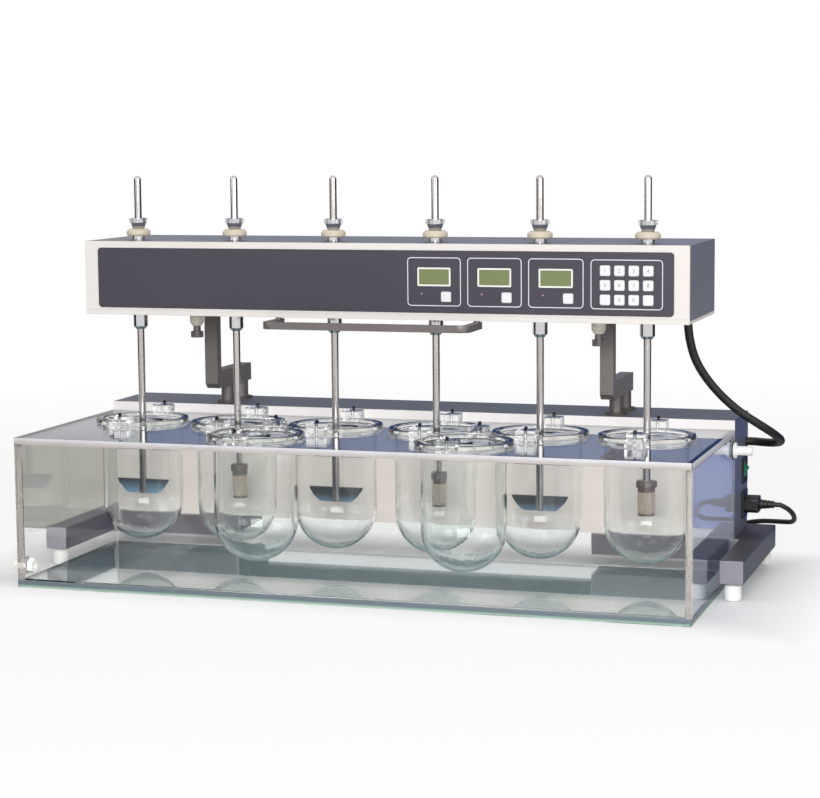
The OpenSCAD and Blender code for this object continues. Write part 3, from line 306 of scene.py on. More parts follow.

# %% [markdown]
# The bath is cast acrylic sheet, its lid plate has a blue tint, and the vessels are borosilicate glass. The right end
# wall is tinted blue as a painted reflection. All are true glass shaders on solid walls, so edges gather and bend the
# light as real ones do. Lamps would be stopped by such a wall, so for shadow rays alone the wall is a clear film
# instead. Glass tube is drawn from the melt and keeps faint lines along its length, a few millimetres apart: they
# break the view into upright streaks. So the bump is a noise that is stretched along Z, and the cast sheet has almost
# none of it. Light crosses a dozen walls and more on its way through bath and vessels, and is mirrored between them,
# so the scene allows three dozen bounces.

# %% Clear acrylic and glass
clear = {}
end_wall_x, front_wall_y, bounces = 429.5 * MM, -183.5 * MM, 36
for name, colour, ior, scuff, lines in (
        ("cast acrylic sheet", "#FFFFFF", 1.49, 0.03, 0.01),
        ("blue tinted acrylic plate", "#AEB5C3", 1.49, 0.03, 0.01),
        ("borosilicate glass", "#FDFFFE", 1.473, 0.012, 0.12),
        ("polished acrylic block", "#FFFFFF", 1.49, 0.3, 0.05)):
    finish, tree, place = new_finish(name)
    marks = put(tree, "ShaderNodeTexNoise", {"Vector": place, "Scale": per_mm(35), "Detail": 5.0})
    gloss = put(tree, "ShaderNodeMapRange", {"Value": marks, "From Min": 0.4, "From Max": 0.8, "To Min": 0.0,
                "To Max": scuff})
    along = put(tree, "ShaderNodeMapping", {"Vector": place, "Scale": (1.0, 1.0, 0.03)})
    drawn = put(tree, "ShaderNodeTexNoise", {"Vector": along, "Scale": per_mm(6), "Detail": 2.0})
    bump = put(tree, "ShaderNodeBump", {"Height": drawn, "Strength": lines, "Distance": 0.001})
    tint = linear(colour)
    # The bath's right end wall gets a blue tint as a painted reflection.
    if name == "cast acrylic sheet":
        spot = put(tree, "ShaderNodeSeparateXYZ", {"Vector": place})
        beyond = put(tree, "ShaderNodeMath", {0: spot.outputs["X"], 1: end_wall_x}, operation="GREATER_THAN")
        behind = put(tree, "ShaderNodeMath", {0: spot.outputs["Y"], 1: front_wall_y}, operation="GREATER_THAN")
        painted_reflection_wall = put(tree, "ShaderNodeMath", {0: beyond, 1: behind}, operation="MULTIPLY")
        tint = put(tree, "ShaderNodeMix", {"Factor": painted_reflection_wall, "A": tint, "B": linear("#C4CEE6")}, data_type="RGBA")
    wall = put(tree, "ShaderNodeBsdfPrincipled", {"Base Color": tint, "Transmission Weight": 1.0, "IOR": ior,
               "Roughness": gloss, "Normal": bump})
    window = put(tree, "ShaderNodeBsdfTransparent")
    rays = put(tree, "ShaderNodeLightPath")
    either = put(tree, "ShaderNodeMixShader", {0: rays.outputs["Is Shadow Ray"], 1: wall, 2: window})
    put(tree, "ShaderNodeOutputMaterial", {"Surface": either})
    clear[name] = finish
light_paths = bpy.context.scene.cycles
light_paths.max_bounces = light_paths.transmission_bounces = light_paths.transparent_max_bounces = bounces
print("finishes", list(clear))

# %% [markdown]
# Moulded plastics: white nylon for feet and nozzles, light grey ABS for the keys, black for the power entry and
# green for the rocker. A mould is sparked, so each has a fine even grain. Inks, rubber, lacquer, woven wire and
# browned bronze are as dull and even, so the same tree serves them.

# %% Moulded plastics, and what is as dull
plastic = {}
for name, low, high, rough, grain_mm, strength in (
        ("white moulded nylon", "#ECEBE6", "#F6F5F1", 0.42, 1.2, 0.05),
        ("ivory moulded nylon", "#DED4C4", "#EBE2D4", 0.4, 1.2, 0.05),
        ("light grey ABS key", "#E4E2E5", "#EDEBEE", 0.36, 0.8, 0.04),
        ("black moulded ABS", "#141416", "#1E1E21", 0.4, 0.9, 0.06),
        ("green moulded rocker", "#1C7A3A", "#279A4B", 0.25, 1.5, 0.03),
        ("black cable rubber", "#0C0C0D", "#171718", 0.46, 1.6, 0.08),
        ("white printed ink", "#E6E4EC", "#F3F1F7", 0.5, 0.9, 0.03),
        ("grey printed ink", "#77757C", "#86848B", 0.5, 0.9, 0.03),
        ("red lamp lens", "#A08488", "#AF9296", 0.2, 1.5, 0.03),
        ("oiled bearing bronze", "#4B433C", "#5A5047", 0.4, 0.9, 0.06),
        ("woven wire, dull", "#95877C", "#A99A8D", 0.45, 0.6, 0.1),
        ("bronzed basket fitting", "#463D37", "#574C44", 0.3, 0.6, 0.06),
        ("circuit board lacquer", "#1C4A30", "#23593A", 0.35, 3.0, 0.08)):
    plastic[name] = grained(name, (low, high), drift=(25, 2.0), grain=(grain_mm, 2.0), lift=(strength, 0.0003),
                            gloss=(rough - 0.05, rough + 0.08))
print("finishes", list(plastic))

# %% [markdown]
# A liquid crystal display that is switched off is an olive green pane: a reflector with a faint raster of rows,
# under glass. The rows are drawn three millimetres apart, coarser than real ones, so that they show: a wave
# repeats about three times in the length of its scale, which is ten.

# %% Display pane
display_pane, tree, place = new_finish("olive display glass")
raster = put(tree, "ShaderNodeTexWave", {"Vector": place, "Scale": per_mm(10)}, bands_direction="Z")
tone = put(tree, "ShaderNodeMix", {"Factor": raster.outputs["Fac"], "A": linear("#717D4D"),
           "B": linear("#747F50")}, data_type="RGBA")
shader = put(tree, "ShaderNodeBsdfPrincipled", {"Base Color": tone, "Roughness": 0.3, "IOR": 1.5,
             "Coat Weight": 0.3, "Coat Roughness": 0.08})
put(tree, "ShaderNodeOutputMaterial", {"Surface": shader})
print("finish", display_pane.name)

# %% [markdown]
# Under the clear floor of the bath lies a teal sheet. Seen at a low angle the floor above it is half a mirror, so the
# vessels show in it upside down. The sheet's tone changes slowly, and towards the left end it is painted darker, a
# painted reflection of the dark surroundings.

# %% Teal sheet under the floor
floor_liner, tree, place = new_finish("teal polyester sheet")
drift = put(tree, "ShaderNodeTexNoise", {"Vector": place, "Scale": per_mm(260), "Detail": 2.0})
tone = put(tree, "ShaderNodeMix", {"Factor": drift, "A": linear("#70908F"), "B": linear("#9DB6B6")}, data_type="RGBA")
along = put(tree, "ShaderNodeSeparateXYZ", {"Vector": place}).outputs["X"]
# Painted reflection: the sheet is painted darker towards the left end.
left = put(tree, "ShaderNodeMapRange", {"Value": along, "From Min": -430 * MM, "From Max": -200 * MM})
tone = put(tree, "ShaderNodeMix", {"Factor": left, "A": linear("#3F6468"), "B": tone}, data_type="RGBA")
gloss = put(tree, "ShaderNodeMapRange", {"Value": drift, "To Min": 0.04, "To Max": 0.12})
shader = put(tree, "ShaderNodeBsdfPrincipled", {"Base Color": tone, "Roughness": gloss, "IOR": 1.5})
put(tree, "ShaderNodeOutputMaterial", {"Surface": shader})
print("finish", floor_liner.name)

# %% [markdown]
# Some helpers for modelling. New pieces are made with the same operators that a hand would use, so first
# everything is deselected: the loaded parts are still selected, and an operator acts on all that is.

# %% Helpers for modelling
def deselect():
    if bpy.context.object and bpy.context.object.mode == "EDIT":
        bpy.ops.object.mode_set(mode="OBJECT")
    bpy.ops.object.select_all(action="DESELECT")


def focus(piece):
    deselect()
    piece.select_set(True)
    bpy.context.view_layer.objects.active = piece


def edit_all():
    bpy.ops.object.mode_set(mode="EDIT")
    bpy.ops.mesh.select_all(action="SELECT")


def pick_edges(piece, test):
    bpy.ops.mesh.select_mode(type="EDGE")
    bpy.ops.mesh.select_all(action="DESELECT")
    mesh = bmesh.from_edit_mesh(piece.data)
    for edge in mesh.edges:
        edge.select_set(test(edge))
    mesh.select_flush_mode()
    bmesh.update_edit_mesh(piece.data)


def settle(piece, name, finish, body, place, turn=(0, 0, 0)):
    focus(piece)
    piece.rotation_euler = turn
    piece.location = Vector(place) * MM
    bpy.ops.object.transform_apply(location=True, rotation=True, scale=True)
    bpy.ops.object.shade_smooth_by_angle(angle=radians(32))
    piece.name = piece.data.name = name
    if finish:
        wear(piece, finish)
    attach(piece, body)
    return piece


def twin(source, name, shift, body):
    focus(source)
    bpy.ops.object.duplicate()
    copy = bpy.context.object
    copy.data.transform(Matrix.Translation(Vector(shift) * MM))
    copy.name = copy.data.name = name
    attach(copy, body)
    return copy


def turned(profile, sides):
    deselect()
    radius, height = profile[0]
    bpy.ops.mesh.primitive_circle_add(vertices=sides, radius=radius * MM, fill_type="NGON")
    piece = bpy.context.object
    edit_all()
    bpy.ops.transform.translate(value=(0, 0, height * MM))
    for wide, high in profile[1:]:
        bpy.ops.mesh.extrude_region_move(TRANSFORM_OT_translate={"value": (0, 0, (high - height) * MM)})
        bpy.ops.transform.resize(value=(wide / radius, wide / radius, 1), center_override=(0, 0, high * MM))
        radius, height = wide, high
    bpy.ops.mesh.select_all(action="SELECT")
    bpy.ops.mesh.normals_make_consistent(inside=False)
    bpy.ops.object.mode_set(mode="OBJECT")
    return piece


def plate(width, height, corner, thick):
    deselect()
    bpy.ops.mesh.primitive_plane_add(size=1)
    piece = bpy.context.object
    edit_all()
    bpy.ops.transform.resize(value=(width * MM, height * MM, 1))
    bpy.ops.mesh.bevel(offset=corner * MM, segments=6, affect="VERTICES")
    bpy.ops.mesh.select_all(action="SELECT")
    if thick:
        bpy.ops.mesh.extrude_region_move(TRANSFORM_OT_translate={"value": (0, 0, thick * MM)})
        bpy.ops.mesh.select_all(action="SELECT")
        bpy.ops.mesh.normals_make_consistent(inside=False)
    bpy.ops.object.mode_set(mode="OBJECT")
    return piece


FACING = (radians(90), 0, 0)
print("helpers ready")

# %% [markdown]
# The cords come first, because their room counts in the size of the whole. The mains lead leaves the strain
# relief of its connector, turns back in a wide bow, drops behind the base to the bench and ends in a flat coil
# with the plug beside it. Its free points are those of the CAD model, and the coil is a formula: inwards on the
# bench, half a turn to climb, outwards on top. A curve of one open spline carries it all.

# %% Mains lead
def smooth(points, step):
    ends = [2 * points[0] - points[1]] + points + [2 * points[-1] - points[-2]]
    fine = []
    for a, b, c, d in zip(ends, ends[1:], ends[2:], ends[3:]):
        count = max(1, round((c - b).length / step))
        for k in range(count):
            t = k / count
            fine.append(0.5 * (2 * b + (c - a) * t + (2 * a - 5 * b + 4 * c - d) * t ** 2
                               + (3 * b - a - 3 * c + d) * t ** 3))
    return fine + [points[-1]]


def run_of(points):
    return sum((b - a).length for a, b in zip(points, points[1:]))


lead_d = 6.5
lead_exit = Vector((479, 180, 86))
free = [lead_exit] + [lead_exit + Vector(p) for p in ((7, 0, 0), (16, 4, -5), (22, 13, -13), (23, 24, -22))]
free += [Vector(p) for p in (
    (497, 215, 58), (487, 223, 56), (473, 229, 55), (456, 233, 54), (438, 236, 51), (420, 239, 45),
    (402, 242, 36), (384, 246, 25), (366, 250, 14.25), (349, 254, 7.25), (332, 257, 4.05), (316, 258, 3.25),
    (300, 258, 3.25))]
coil_r, coil_turns, coil_step, coil_points = 44, 2.5, 7.1, 36
coil = []
for k in range(1, int((2 * coil_turns + 0.5) * coil_points) + 1):
    turns = k / coil_points
    folded = turns if turns < coil_turns + 0.25 else 2 * coil_turns + 0.5 - turns
    climb = min(1, max(0, (turns - coil_turns) / 0.5))
    radius, angle = coil_r - coil_step * folded, radians(-90 - 360 * turns)
    coil.append(Vector((free[-1].x + radius * cos(angle), free[-1].y + coil_r + radius * sin(angle),
                        lead_d / 2 + coil_step * climb * climb * (3 - 2 * climb))))
tail = [coil[-1] + Vector((6.5, 0, 0)), coil[-1] + Vector((26, 0, 0))]
lead_line = smooth(free, 5) + coil + tail


def cord_curve(name, line, diameter, finish):
    data = bpy.data.curves.new(name, "CURVE")
    data.dimensions = "3D"
    spline = data.splines.new("POLY")
    spline.points.add(len(line) - 1)
    for point, spot in zip(spline.points, line):
        point.co = (*(spot * MM), 1)
    data.bevel_depth = diameter / 2 * MM
    data.bevel_resolution = 5
    data.use_fill_caps = True
    data.materials.append(finish)
    piece = bpy.data.objects.new(name, data)
    bpy.context.scene.collection.objects.link(piece)
    return piece


lead = cord_curve("mains_cable", lead_line, lead_d, plastic["black cable rubber"])
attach(lead, "stand")
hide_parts("mains_lead", "mains_coil")
print("mains lead", round(run_of(lead_line)), "mm")

# %% [markdown]
# A strap of hook and loop tape holds the coil together. It goes round both layers of turns, on the side that
# the lead doesn't enter or leave. It is a rounded plate, inset by the tape's thickness, emptied and given its
# width.

# %% Coil strap
def hoop_of(width, height, corner, wall, depth):
    piece = plate(width, height, corner, 0)
    edit_all()
    bpy.ops.mesh.inset(thickness=wall * MM, depth=0)
    bpy.ops.mesh.delete(type="FACE")
    bpy.ops.mesh.select_all(action="SELECT")
    bpy.ops.mesh.extrude_region_move(TRANSFORM_OT_translate={"value": (0, 0, depth * MM)})
    bpy.ops.mesh.select_all(action="SELECT")
    bpy.ops.mesh.normals_make_consistent(inside=False)
    bpy.ops.object.mode_set(mode="OBJECT")
    return piece


strap = hoop_of(width=27.8, height=14.6, corner=2.6, wall=0.35, depth=9)
settle(strap, "coil_strap", plastic["black cable rubber"], "stand", place=(265.7, 306.5, 6.9), turn=FACING)
print("coil strap")

# %% [markdown]
# The conduit between the head and the rear housing is a smooth black hose. It hangs in one bow from the head's
# underside to a hole in the housing's side. The head lifts; the hose is turned into a mesh.

# %% Head conduit
hose_d = 11
hose_points = [Vector(p) for p in (
    (436, 196, 167), (450, 196, 167), (468, 190, 167), (484, 174, 170), (490, 151, 177), (482, 129, 189),
    (465, 113, 203), (444, 101, 219), (423, 89, 240), (405, 78, 264), (393, 69, 288), (387, 63, 312),
    (385, 60, 332), (385, 60, 345))]
hose_line = smooth(hose_points, 4)
hose = cord_curve("head_hose", hose_line, hose_d, plastic["black cable rubber"])
focus(hose)
bpy.ops.object.convert(target="MESH")
hose = bpy.context.object
bpy.ops.object.shade_smooth_by_angle(angle=radians(40))
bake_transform(hose)
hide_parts("head_conduit")
print("conduit", round(run_of(hose_line)), "mm")

# %% [markdown]
# The CAD parts keep their shapes. A real edge is never perfectly sharp, though, and a small round catches the
# light, so most parts get a live Weld and Bevel. A flat face comes as many thin triangles, which would crease
# at a bevel, so a planar Decimate makes each flat whole again first. The parts themselves stay as they were
# packed.

# %% Finishes and eased edges on the CAD parts
def ease(node, width, segments=2):
    weld = nodes[node].modifiers.new("weld", "WELD")
    weld.merge_threshold = 0.01 * MM
    flat = nodes[node].modifiers.new("whole flats", "DECIMATE")
    flat.decimate_type = "DISSOLVE"
    flat.angle_limit = radians(0.5)
    bevel = nodes[node].modifiers.new("eased edges", "BEVEL")
    bevel.width = width * MM
    bevel.segments = segments
    bevel.limit_method = "ANGLE"
    bevel.angle_limit = radians(40)


keys = [f"key_{k}" for k in range(1, 13)] + [f"set_key_{k}" for k in range(1, 4)]
dress = {
    ivory_enamel["rear"]: ["rear_panel"],
    ivory_enamel["head"]: ["head_chassis", "head_panel"],
    slate_paint["head"]: ["head_cover"],
    slate_paint["rear"]: ["rear_housing"],
    overlay_film: ["panel_overlay"],
    base_paint: ["base_frame"],
    anodised_grey: ["support_arms", "guide_posts", "lifting_handle", "thumb_screw_left", "thumb_screw_right"],
    steel["ground stainless steel"]: ["circulation_heater", "drive_motor", "drive_pulley", "spindle_bearings"],
    steel["ground steel with blued blade"]: ["stirrer_1", "stirrer_3", "stirrer_5"],
    spindle_finish: [f"spindle_{k}" for k in range(1, 7)],
    clear["cast acrylic sheet"]: ["water_tank"],
    clear["blue tinted acrylic plate"]: ["vessel_plate"],
    clear["polished acrylic block"]: ["vessel_clips"],
    plastic["white moulded nylon"]: ["base_feet", "tank_nozzles"],
    plastic["ivory moulded nylon"]: ["adjuster_sleeves"],
    plastic["light grey ABS key"]: keys,
    plastic["black moulded ABS"]: ["power_entry"],
    plastic["green moulded rocker"]: ["switch_rocker"],
    plastic["black cable rubber"]: ["drive_belt", "mains_connector", "mains_plug"],
    plastic["oiled bearing bronze"]: ["guide_bushes"],
    plastic["circuit board lacquer"]: ["control_board"]}
for finish, names in dress.items():
    for name in names:
        wear(nodes[name], finish)
for name, width in (("base_frame", 1.5), ("support_arms", 1.2), ("lifting_handle", 2.2), ("rear_housing", 1.0),
                    ("rear_panel", 0.4), ("head_cover", 1.2), ("head_panel", 0.8), ("head_chassis", 0.6),
                    ("water_tank", 0.7), ("vessel_plate", 0.7), ("vessel_clips", 0.9), ("power_entry", 0.8),
                    ("mains_connector", 1.0), ("mains_plug", 1.0), ("tank_nozzles", 0.5)):
    ease(name, width)
for name in keys:
    ease(name, 0.5, 3)
ease("base_feet", 4.0, 5)
print("dressed", sum(len(names) for names in dress.values()), "parts")

# %% [markdown]
# The vessels draw the eye, so they are turned afresh with a fine division: one profile runs up the
# outside, over the ground flange and down the inside, as pairs of radius and height. Each ring is an extrusion
# of the one before it. The two spare vessels stand in front, 130 mm from their neighbours.

# %% Vessels
pitch_x = 138
stir_x = [(k - 2.5) * pitch_x for k in range(6)]
row_reach = 130
front_row = sqrt(row_reach ** 2 - (pitch_x / 2) ** 2)
outer_r, inner_r, bowl_z, middle_z = 53.5, 51, 88.5, 140
arc = [radians(a) for a in (-89, *range(-84, 0, 6))]
outside = [(outer_r * cos(a), bowl_z + outer_r * sin(a)) for a in arc]
flange = [(outer_r, bowl_z), (outer_r, middle_z), (outer_r, 190.6), (53.8, 192.2), (54.4, 193.3), (55.4, 194),
          (60.6, 194), (61.4, 194.3), (61.9, 195), (62, 196), (62, 198.4), (61.7, 199.2), (61.1, 199.8), (60.2, 200),
          (52.6, 200), (51.7, 199.7), (51.2, 199.1), (inner_r, 198.2), (inner_r, middle_z), (inner_r, bowl_z)]
inside = [(inner_r * cos(a), bowl_z + inner_r * sin(a)) for a in reversed(arc)]
first = turned(outside + flange + inside, sides=96)
spots = [(x, 0) for x in stir_x] + [(-pitch_x, -front_row), (pitch_x, -front_row)]
settle(first, "vessel_1", clear["borosilicate glass"], "stand", place=(*spots[0], 0))
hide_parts("vessels")
for k, (x, y) in enumerate(spots[1:], 2):
    glass = twin(first, f"vessel_{k}", (x - spots[0][0], y - spots[0][1], 0), "stand")
print("vessels", len(spots), "faces each", len(first.data.polygons))

# %% [markdown]
# Each clip is held by a small black nickel screw with a ball head on a washer. It is turned once and copied.

# %% Clip screws
ball = [(3.0, 0), (3.0, 0.5), (1.3, 0.6), (1.3, 1.1), (1.9, 1.5), (2.3, 2.1), (2.45, 2.9), (2.3, 3.7), (1.9, 4.3),
        (1.3, 4.75), (0.7, 4.95), (0.2, 5.0)]
clip_reach, clip_top = 72, 209
clip_spots = [(x, y + side * clip_reach) for x, y in spots for side in (-1, 1)]
screw = settle(turned(ball, 20), "clip_screw_1", black_nickel, "stand", place=(*clip_spots[0], clip_top))
for k, (x, y) in enumerate(clip_spots[1:], 2):
    twin(screw, f"clip_screw_{k}", (x - clip_spots[0][0], y - clip_spots[0][1], 0), "stand")
print("clip screws", len(clip_spots))

# %% [markdown]
# Three stirrers carry baskets of woven wire. The CAD part has slots for the weave, and here each basket is
# drawn wire by wire: an open drum is divided into a fine grid, and a Wireframe modifier turns its edges into
# wires. The mesh is drawn coarser than the real forty wires to the inch, so that it shows.

# %% Basket stirrers
weave_r, weave_tall, weave_mid, wire_d = 10.95, 28, 113.5, 0.58


def basket_stirrer(name, x):
    rod = turned([(4.75, 137), (4.75, 518.2), (4.5, 519.8), (3.8, 521.3), (2.6, 522.4), (1.2, 522.9), (0.3, 523)], 40)
    cap = turned([(11.6, 132.2), (12.5, 132.4), (13, 132.9), (13, 139.6), (12.6, 140.5), (11.6, 141), (0.5, 141)], 48)
    hoop = turned([(11.15, 97), (11.15, 100), (10.6, 100), (10.6, 97.8), (0.5, 97.8)], 48)
    collar = turned([(11.15, 127), (11.15, 132.4), (10.4, 132.4), (0.5, 132.4)], 48)
    deselect()
    bpy.ops.mesh.primitive_cylinder_add(vertices=60, radius=weave_r * MM, depth=weave_tall * MM,
                                        end_fill_type="NOTHING", location=(0, 0, weave_mid * MM))
    weave = bpy.context.object
    bpy.ops.object.mode_set(mode="EDIT")
    pick_edges(weave, lambda edge: abs(edge.verts[0].co.z - edge.verts[1].co.z) > 1 * MM)
    bpy.ops.mesh.subdivide(number_cuts=25)
    bpy.ops.object.mode_set(mode="OBJECT")
    wires = weave.modifiers.new("wires", "WIREFRAME")
    wires.thickness = wire_d * MM
    bpy.ops.object.modifier_apply(modifier="wires")
    wear(rod, steel["ground stainless steel"])
    wear(weave, plastic["woven wire, dull"])
    for part in (cap, hoop, collar):
        wear(part, plastic["bronzed basket fitting"])
    focus(rod)
    for part in (cap, hoop, collar, weave):
        part.select_set(True)
    bpy.ops.object.join()
    return settle(rod, name, None, name.replace("_with_basket", ""), place=(x, 0, 0))


for k in (2, 4, 6):
    dipped = basket_stirrer(f"stirrer_{k}_with_basket", stir_x[k - 1])
    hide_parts(f"stirrer_{k}")
print("basket faces", len(dipped.data.polygons))

# %% [markdown]
# The panel's print: thin pale frames round the three display groups and the keypad. A frame starts as a plate
# with rounded corners, is inset by the line's width, and loses its middle.

# %% Printed frames on the overlay
FACE, HEAD_Z = -40.8, 341
group_x = [79.5, 158.5, 237.5]
frames = [(f"print_group_{k}", x, HEAD_Z + 49, 70.5) for k, x in enumerate(group_x, 1)]
frames.append(("print_keypad", 327, HEAD_Z + 48.4, 90.5))
for name, x, z, width in frames:
    line = hoop_of(width, height=61.5, corner=5, wall=1.0, depth=0.06)
    settle(line, name, plastic["white printed ink"], "head", place=(x, FACE, z), turn=FACING)
print("printed frames", len(frames))

# %% [markdown]
# Each display sits behind a white frame with a small lamp and a set key below it. The frame is a plate with a
# window, the pane a thin plate behind it, and the lamp a turned dome.

# %% Displays and lamps
lens_profile = [(1.3, 0), (1.3, 0.4), (1.1, 0.7), (0.8, 0.95), (0.3, 1.05)]
for k, x in enumerate(group_x, 1):
    window_spot, lamp_spot = (x, FACE + 0.35, HEAD_Z + 55.2), (x - 16.5, FACE, HEAD_Z + 33.8)
    bezel = hoop_of(width=43.6, height=23.5, corner=1.6, wall=2.0, depth=0.9)
    settle(bezel, f"display_frame_{k}", plastic["white moulded nylon"], "head", place=window_spot, turn=FACING)
    pane = plate(width=40.2, height=20.1, corner=0.6, thick=0.3)
    settle(pane, f"display_pane_{k}", display_pane, "head", place=window_spot, turn=FACING)
    settle(turned(lens_profile, 20), f"lamp_{k}", plastic["red lamp lens"], "head", place=lamp_spot, turn=FACING)
print("displays", len(group_x))

# %% [markdown]
# The keypad has plain digits, made as text, turned to a mesh and laid on each key so that they move with it.
# Two keys of the last row and the three set keys stay bare.

# %% Digits on the keys
for digit, key in zip("1234567890", (1, 2, 3, 4, 5, 6, 7, 8, 10, 11)):
    low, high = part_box(f"key_{key}")
    deselect()
    bpy.ops.object.text_add()
    mark = bpy.context.object
    mark.data.body = digit
    mark.data.size = 6.5 * MM
    mark.data.align_x = mark.data.align_y = "CENTER"
    mark.data.extrude = 0.03 * MM
    bpy.ops.object.convert(target="MESH")
    middle = (low + high) / 2 / MM
    settle(bpy.context.object, f"digit_{key}", plastic["grey printed ink"], f"key_{key}",
           place=(middle.x, low.y / MM - 0.02, middle.z), turn=FACING)
print("digits on the keypad")

# %% [markdown]
# On the bath: the teal sheet under the floor, and sealing rings on the nozzles.

# %% Bath details
liner = plate(width=874, height=294, corner=2, thick=0.25)
settle(liner, "bath_floor_liner", floor_liner, "stand", place=(0, -44, -0.32))
seal_r, seal_thick = 11.2, 1.3
for name, spot in (("return_seal", (439.4, 86, 170)), ("drain_seal", (-439.4, -170.2, 25))):
    deselect()
    bpy.ops.mesh.primitive_torus_add(major_radius=(seal_r - seal_thick) * MM, minor_radius=seal_thick * MM,
                                     major_segments=40, minor_segments=14)
    ring = bpy.context.object
    edit_all()
    bpy.ops.transform.resize(value=(1, 1, 0.8))
    bpy.ops.object.mode_set(mode="OBJECT")
    settle(ring, name, plastic["black cable rubber"], "stand", place=spot, turn=(0, radians(90), 0))
print("bath details")

# %% [markdown]
# Acrylic sheet is clear through its faces and pale on its sawn edges, and where two sheets are cemented a pale line
# shows in the corner. The lid's edge has a painted highlight along its top, and the floor's edge has painted light at
# its foot, greener, for the light that comes up through it.

# %% Finishes for edges and joints
sawn_edge, tree, place = new_finish("sawn acrylic edge")
along = put(tree, "ShaderNodeMapping", {"Vector": place, "Scale": (1, 1, 0.05)})
saw = put(tree, "ShaderNodeTexNoise", {"Vector": along, "Scale": per_mm(3), "Detail": 3.0})
tone = put(tree, "ShaderNodeMix", {"Factor": saw, "A": linear("#CFC6C2"), "B": linear("#E3DAD6")}, data_type="RGBA")
height = put(tree, "ShaderNodeSeparateXYZ", {"Vector": place}).outputs["Z"]
# Painted highlight along the top of the lid's edge.
crest = put(tree, "ShaderNodeMapRange", {"Value": height, "From Min": 188 * MM, "From Max": 193 * MM})
tone = put(tree, "ShaderNodeMix", {"Factor": crest, "A": tone, "B": linear("#EFEFF5")}, data_type="RGBA")
shader = put(tree, "ShaderNodeBsdfPrincipled", {"Base Color": tone, "Roughness": 0.3, "Alpha": 0.6})
put(tree, "ShaderNodeOutputMaterial", {"Surface": shader})

joint_line, tree, place = new_finish("cemented joint")
cloud = put(tree, "ShaderNodeTexNoise", {"Vector": place, "Scale": per_mm(8), "Detail": 2.0})
tone = put(tree, "ShaderNodeMix", {"Factor": cloud, "A": linear("#BDB6AF"), "B": linear("#DDD6CF")}, data_type="RGBA")
shader = put(tree, "ShaderNodeBsdfPrincipled", {"Base Color": tone, "Roughness": 0.4, "Alpha": 0.35})
put(tree, "ShaderNodeOutputMaterial", {"Surface": shader})

floor_edge, tree, place = new_finish("sawn floor edge")
height = put(tree, "ShaderNodeSeparateXYZ", {"Vector": place}).outputs["Z"]
# Painted light at the foot of the floor's edge, greener, for the light that comes up through it.
foot = put(tree, "ShaderNodeMapRange", {"Value": height, "From Min": 2 * MM, "From Max": 4 * MM})
tone = put(tree, "ShaderNodeMix", {"Factor": foot, "A": linear("#A3C4AE"), "B": linear("#6E7C86")}, data_type="RGBA")
shader = put(tree, "ShaderNodeBsdfPrincipled", {"Base Color": tone, "Roughness": 0.3, "Alpha": 0.85})
put(tree, "ShaderNodeOutputMaterial", {"Surface": shader})
print("finishes", [finish.name for finish in (sawn_edge, joint_line, floor_edge)])

# %% [markdown]
# The edges of the lid and of the floor get a thin strip each, on the front and both ends, and the tank's four
# upright corners a thin joint within the wall. Each is a cube, drawn out to its size, with rounded edges.

# %% Sawn edges and cemented joints
half_w, front_y, back_y, wall_t = 438, -192.2, 104, 8
strip_t, strip_inset, strip_gap = 0.25, 0.8, 0.02
joint_inset, joint_half = 0.2, 0.05


def strip(name, low, high, finish):
    size = [b - a for a, b in zip(low, high)]
    deselect()
    bpy.ops.mesh.primitive_cube_add(size=1)
    piece = bpy.context.object
    edit_all()
    bpy.ops.transform.resize(value=[side * MM for side in size])
    bpy.ops.mesh.bevel(offset=min(size) * 0.3 * MM, segments=2)
    bpy.ops.object.mode_set(mode="OBJECT")
    settle(piece, name, finish, "stand", place=[(a + b) / 2 for a, b in zip(low, high)])


for sheet, z0, z1, finish in (("lid", 186.05, 193.95, sawn_edge), ("floor", 0.6, 9.4, floor_edge)):
    reach = half_w - strip_inset
    strip(f"{sheet}_edge_front", (-reach, front_y - strip_t, z0), (reach, front_y, z1), finish)
    for side, end in ((-1, "left"), (1, "right")):
        low, high = sorted((side * (half_w + strip_gap), side * (half_w + strip_gap + strip_t)))
        strip(f"{sheet}_edge_{end}", (low, front_y + strip_inset, z0), (high, back_y - strip_inset, z1), finish)
for side, end in ((-1, "left"), (1, "right")):
    low, high = sorted((side * (half_w - wall_t + joint_inset), side * (half_w - joint_inset)))
    for where, y in (("front", -184), ("back", back_y - wall_t)):
        strip(f"joint_{where}_{end}", (low, y - joint_half, 0.8), (high, y + joint_half, 185.5), joint_line)
print("edges and joints")

# %% [markdown]
# The studio is a white room. The floor is a wide pale disc that fades into the world's white. What the camera
# sees of it, straight or through clear sheet, is lifted to white away from the machine, and beside and under
# the machine it keeps the soft shadow.

# %% Studio floor
shadow_x, shadow_y, shadow_mid = 0.5, 0.2, 0.03
floor_r, floor_z = 2.5, -0.0004
floor_paint, tree, place = new_finish("white studio floor")
away = put(tree, "ShaderNodeVectorMath", {0: place}, operation="LENGTH")
fade = put(tree, "ShaderNodeMapRange", {"Value": away, "From Min": 1.0, "From Max": 2.4})
rays = put(tree, "ShaderNodeLightPath")
seen = put(tree, "ShaderNodeMath", {0: rays.outputs["Is Camera Ray"], 1: rays.outputs["Is Transmission Ray"]},
           operation="MAXIMUM")
spot = put(tree, "ShaderNodeSeparateXYZ", {"Vector": place})
wide = put(tree, "ShaderNodeMath", {0: spot.outputs["X"]}, operation="ABSOLUTE")
wide = put(tree, "ShaderNodeMath", {0: wide, 1: shadow_x}, operation="SUBTRACT")
deep = put(tree, "ShaderNodeMath", {0: spot.outputs["Y"], 1: shadow_mid}, operation="SUBTRACT")
deep = put(tree, "ShaderNodeMath", {0: deep}, operation="ABSOLUTE")
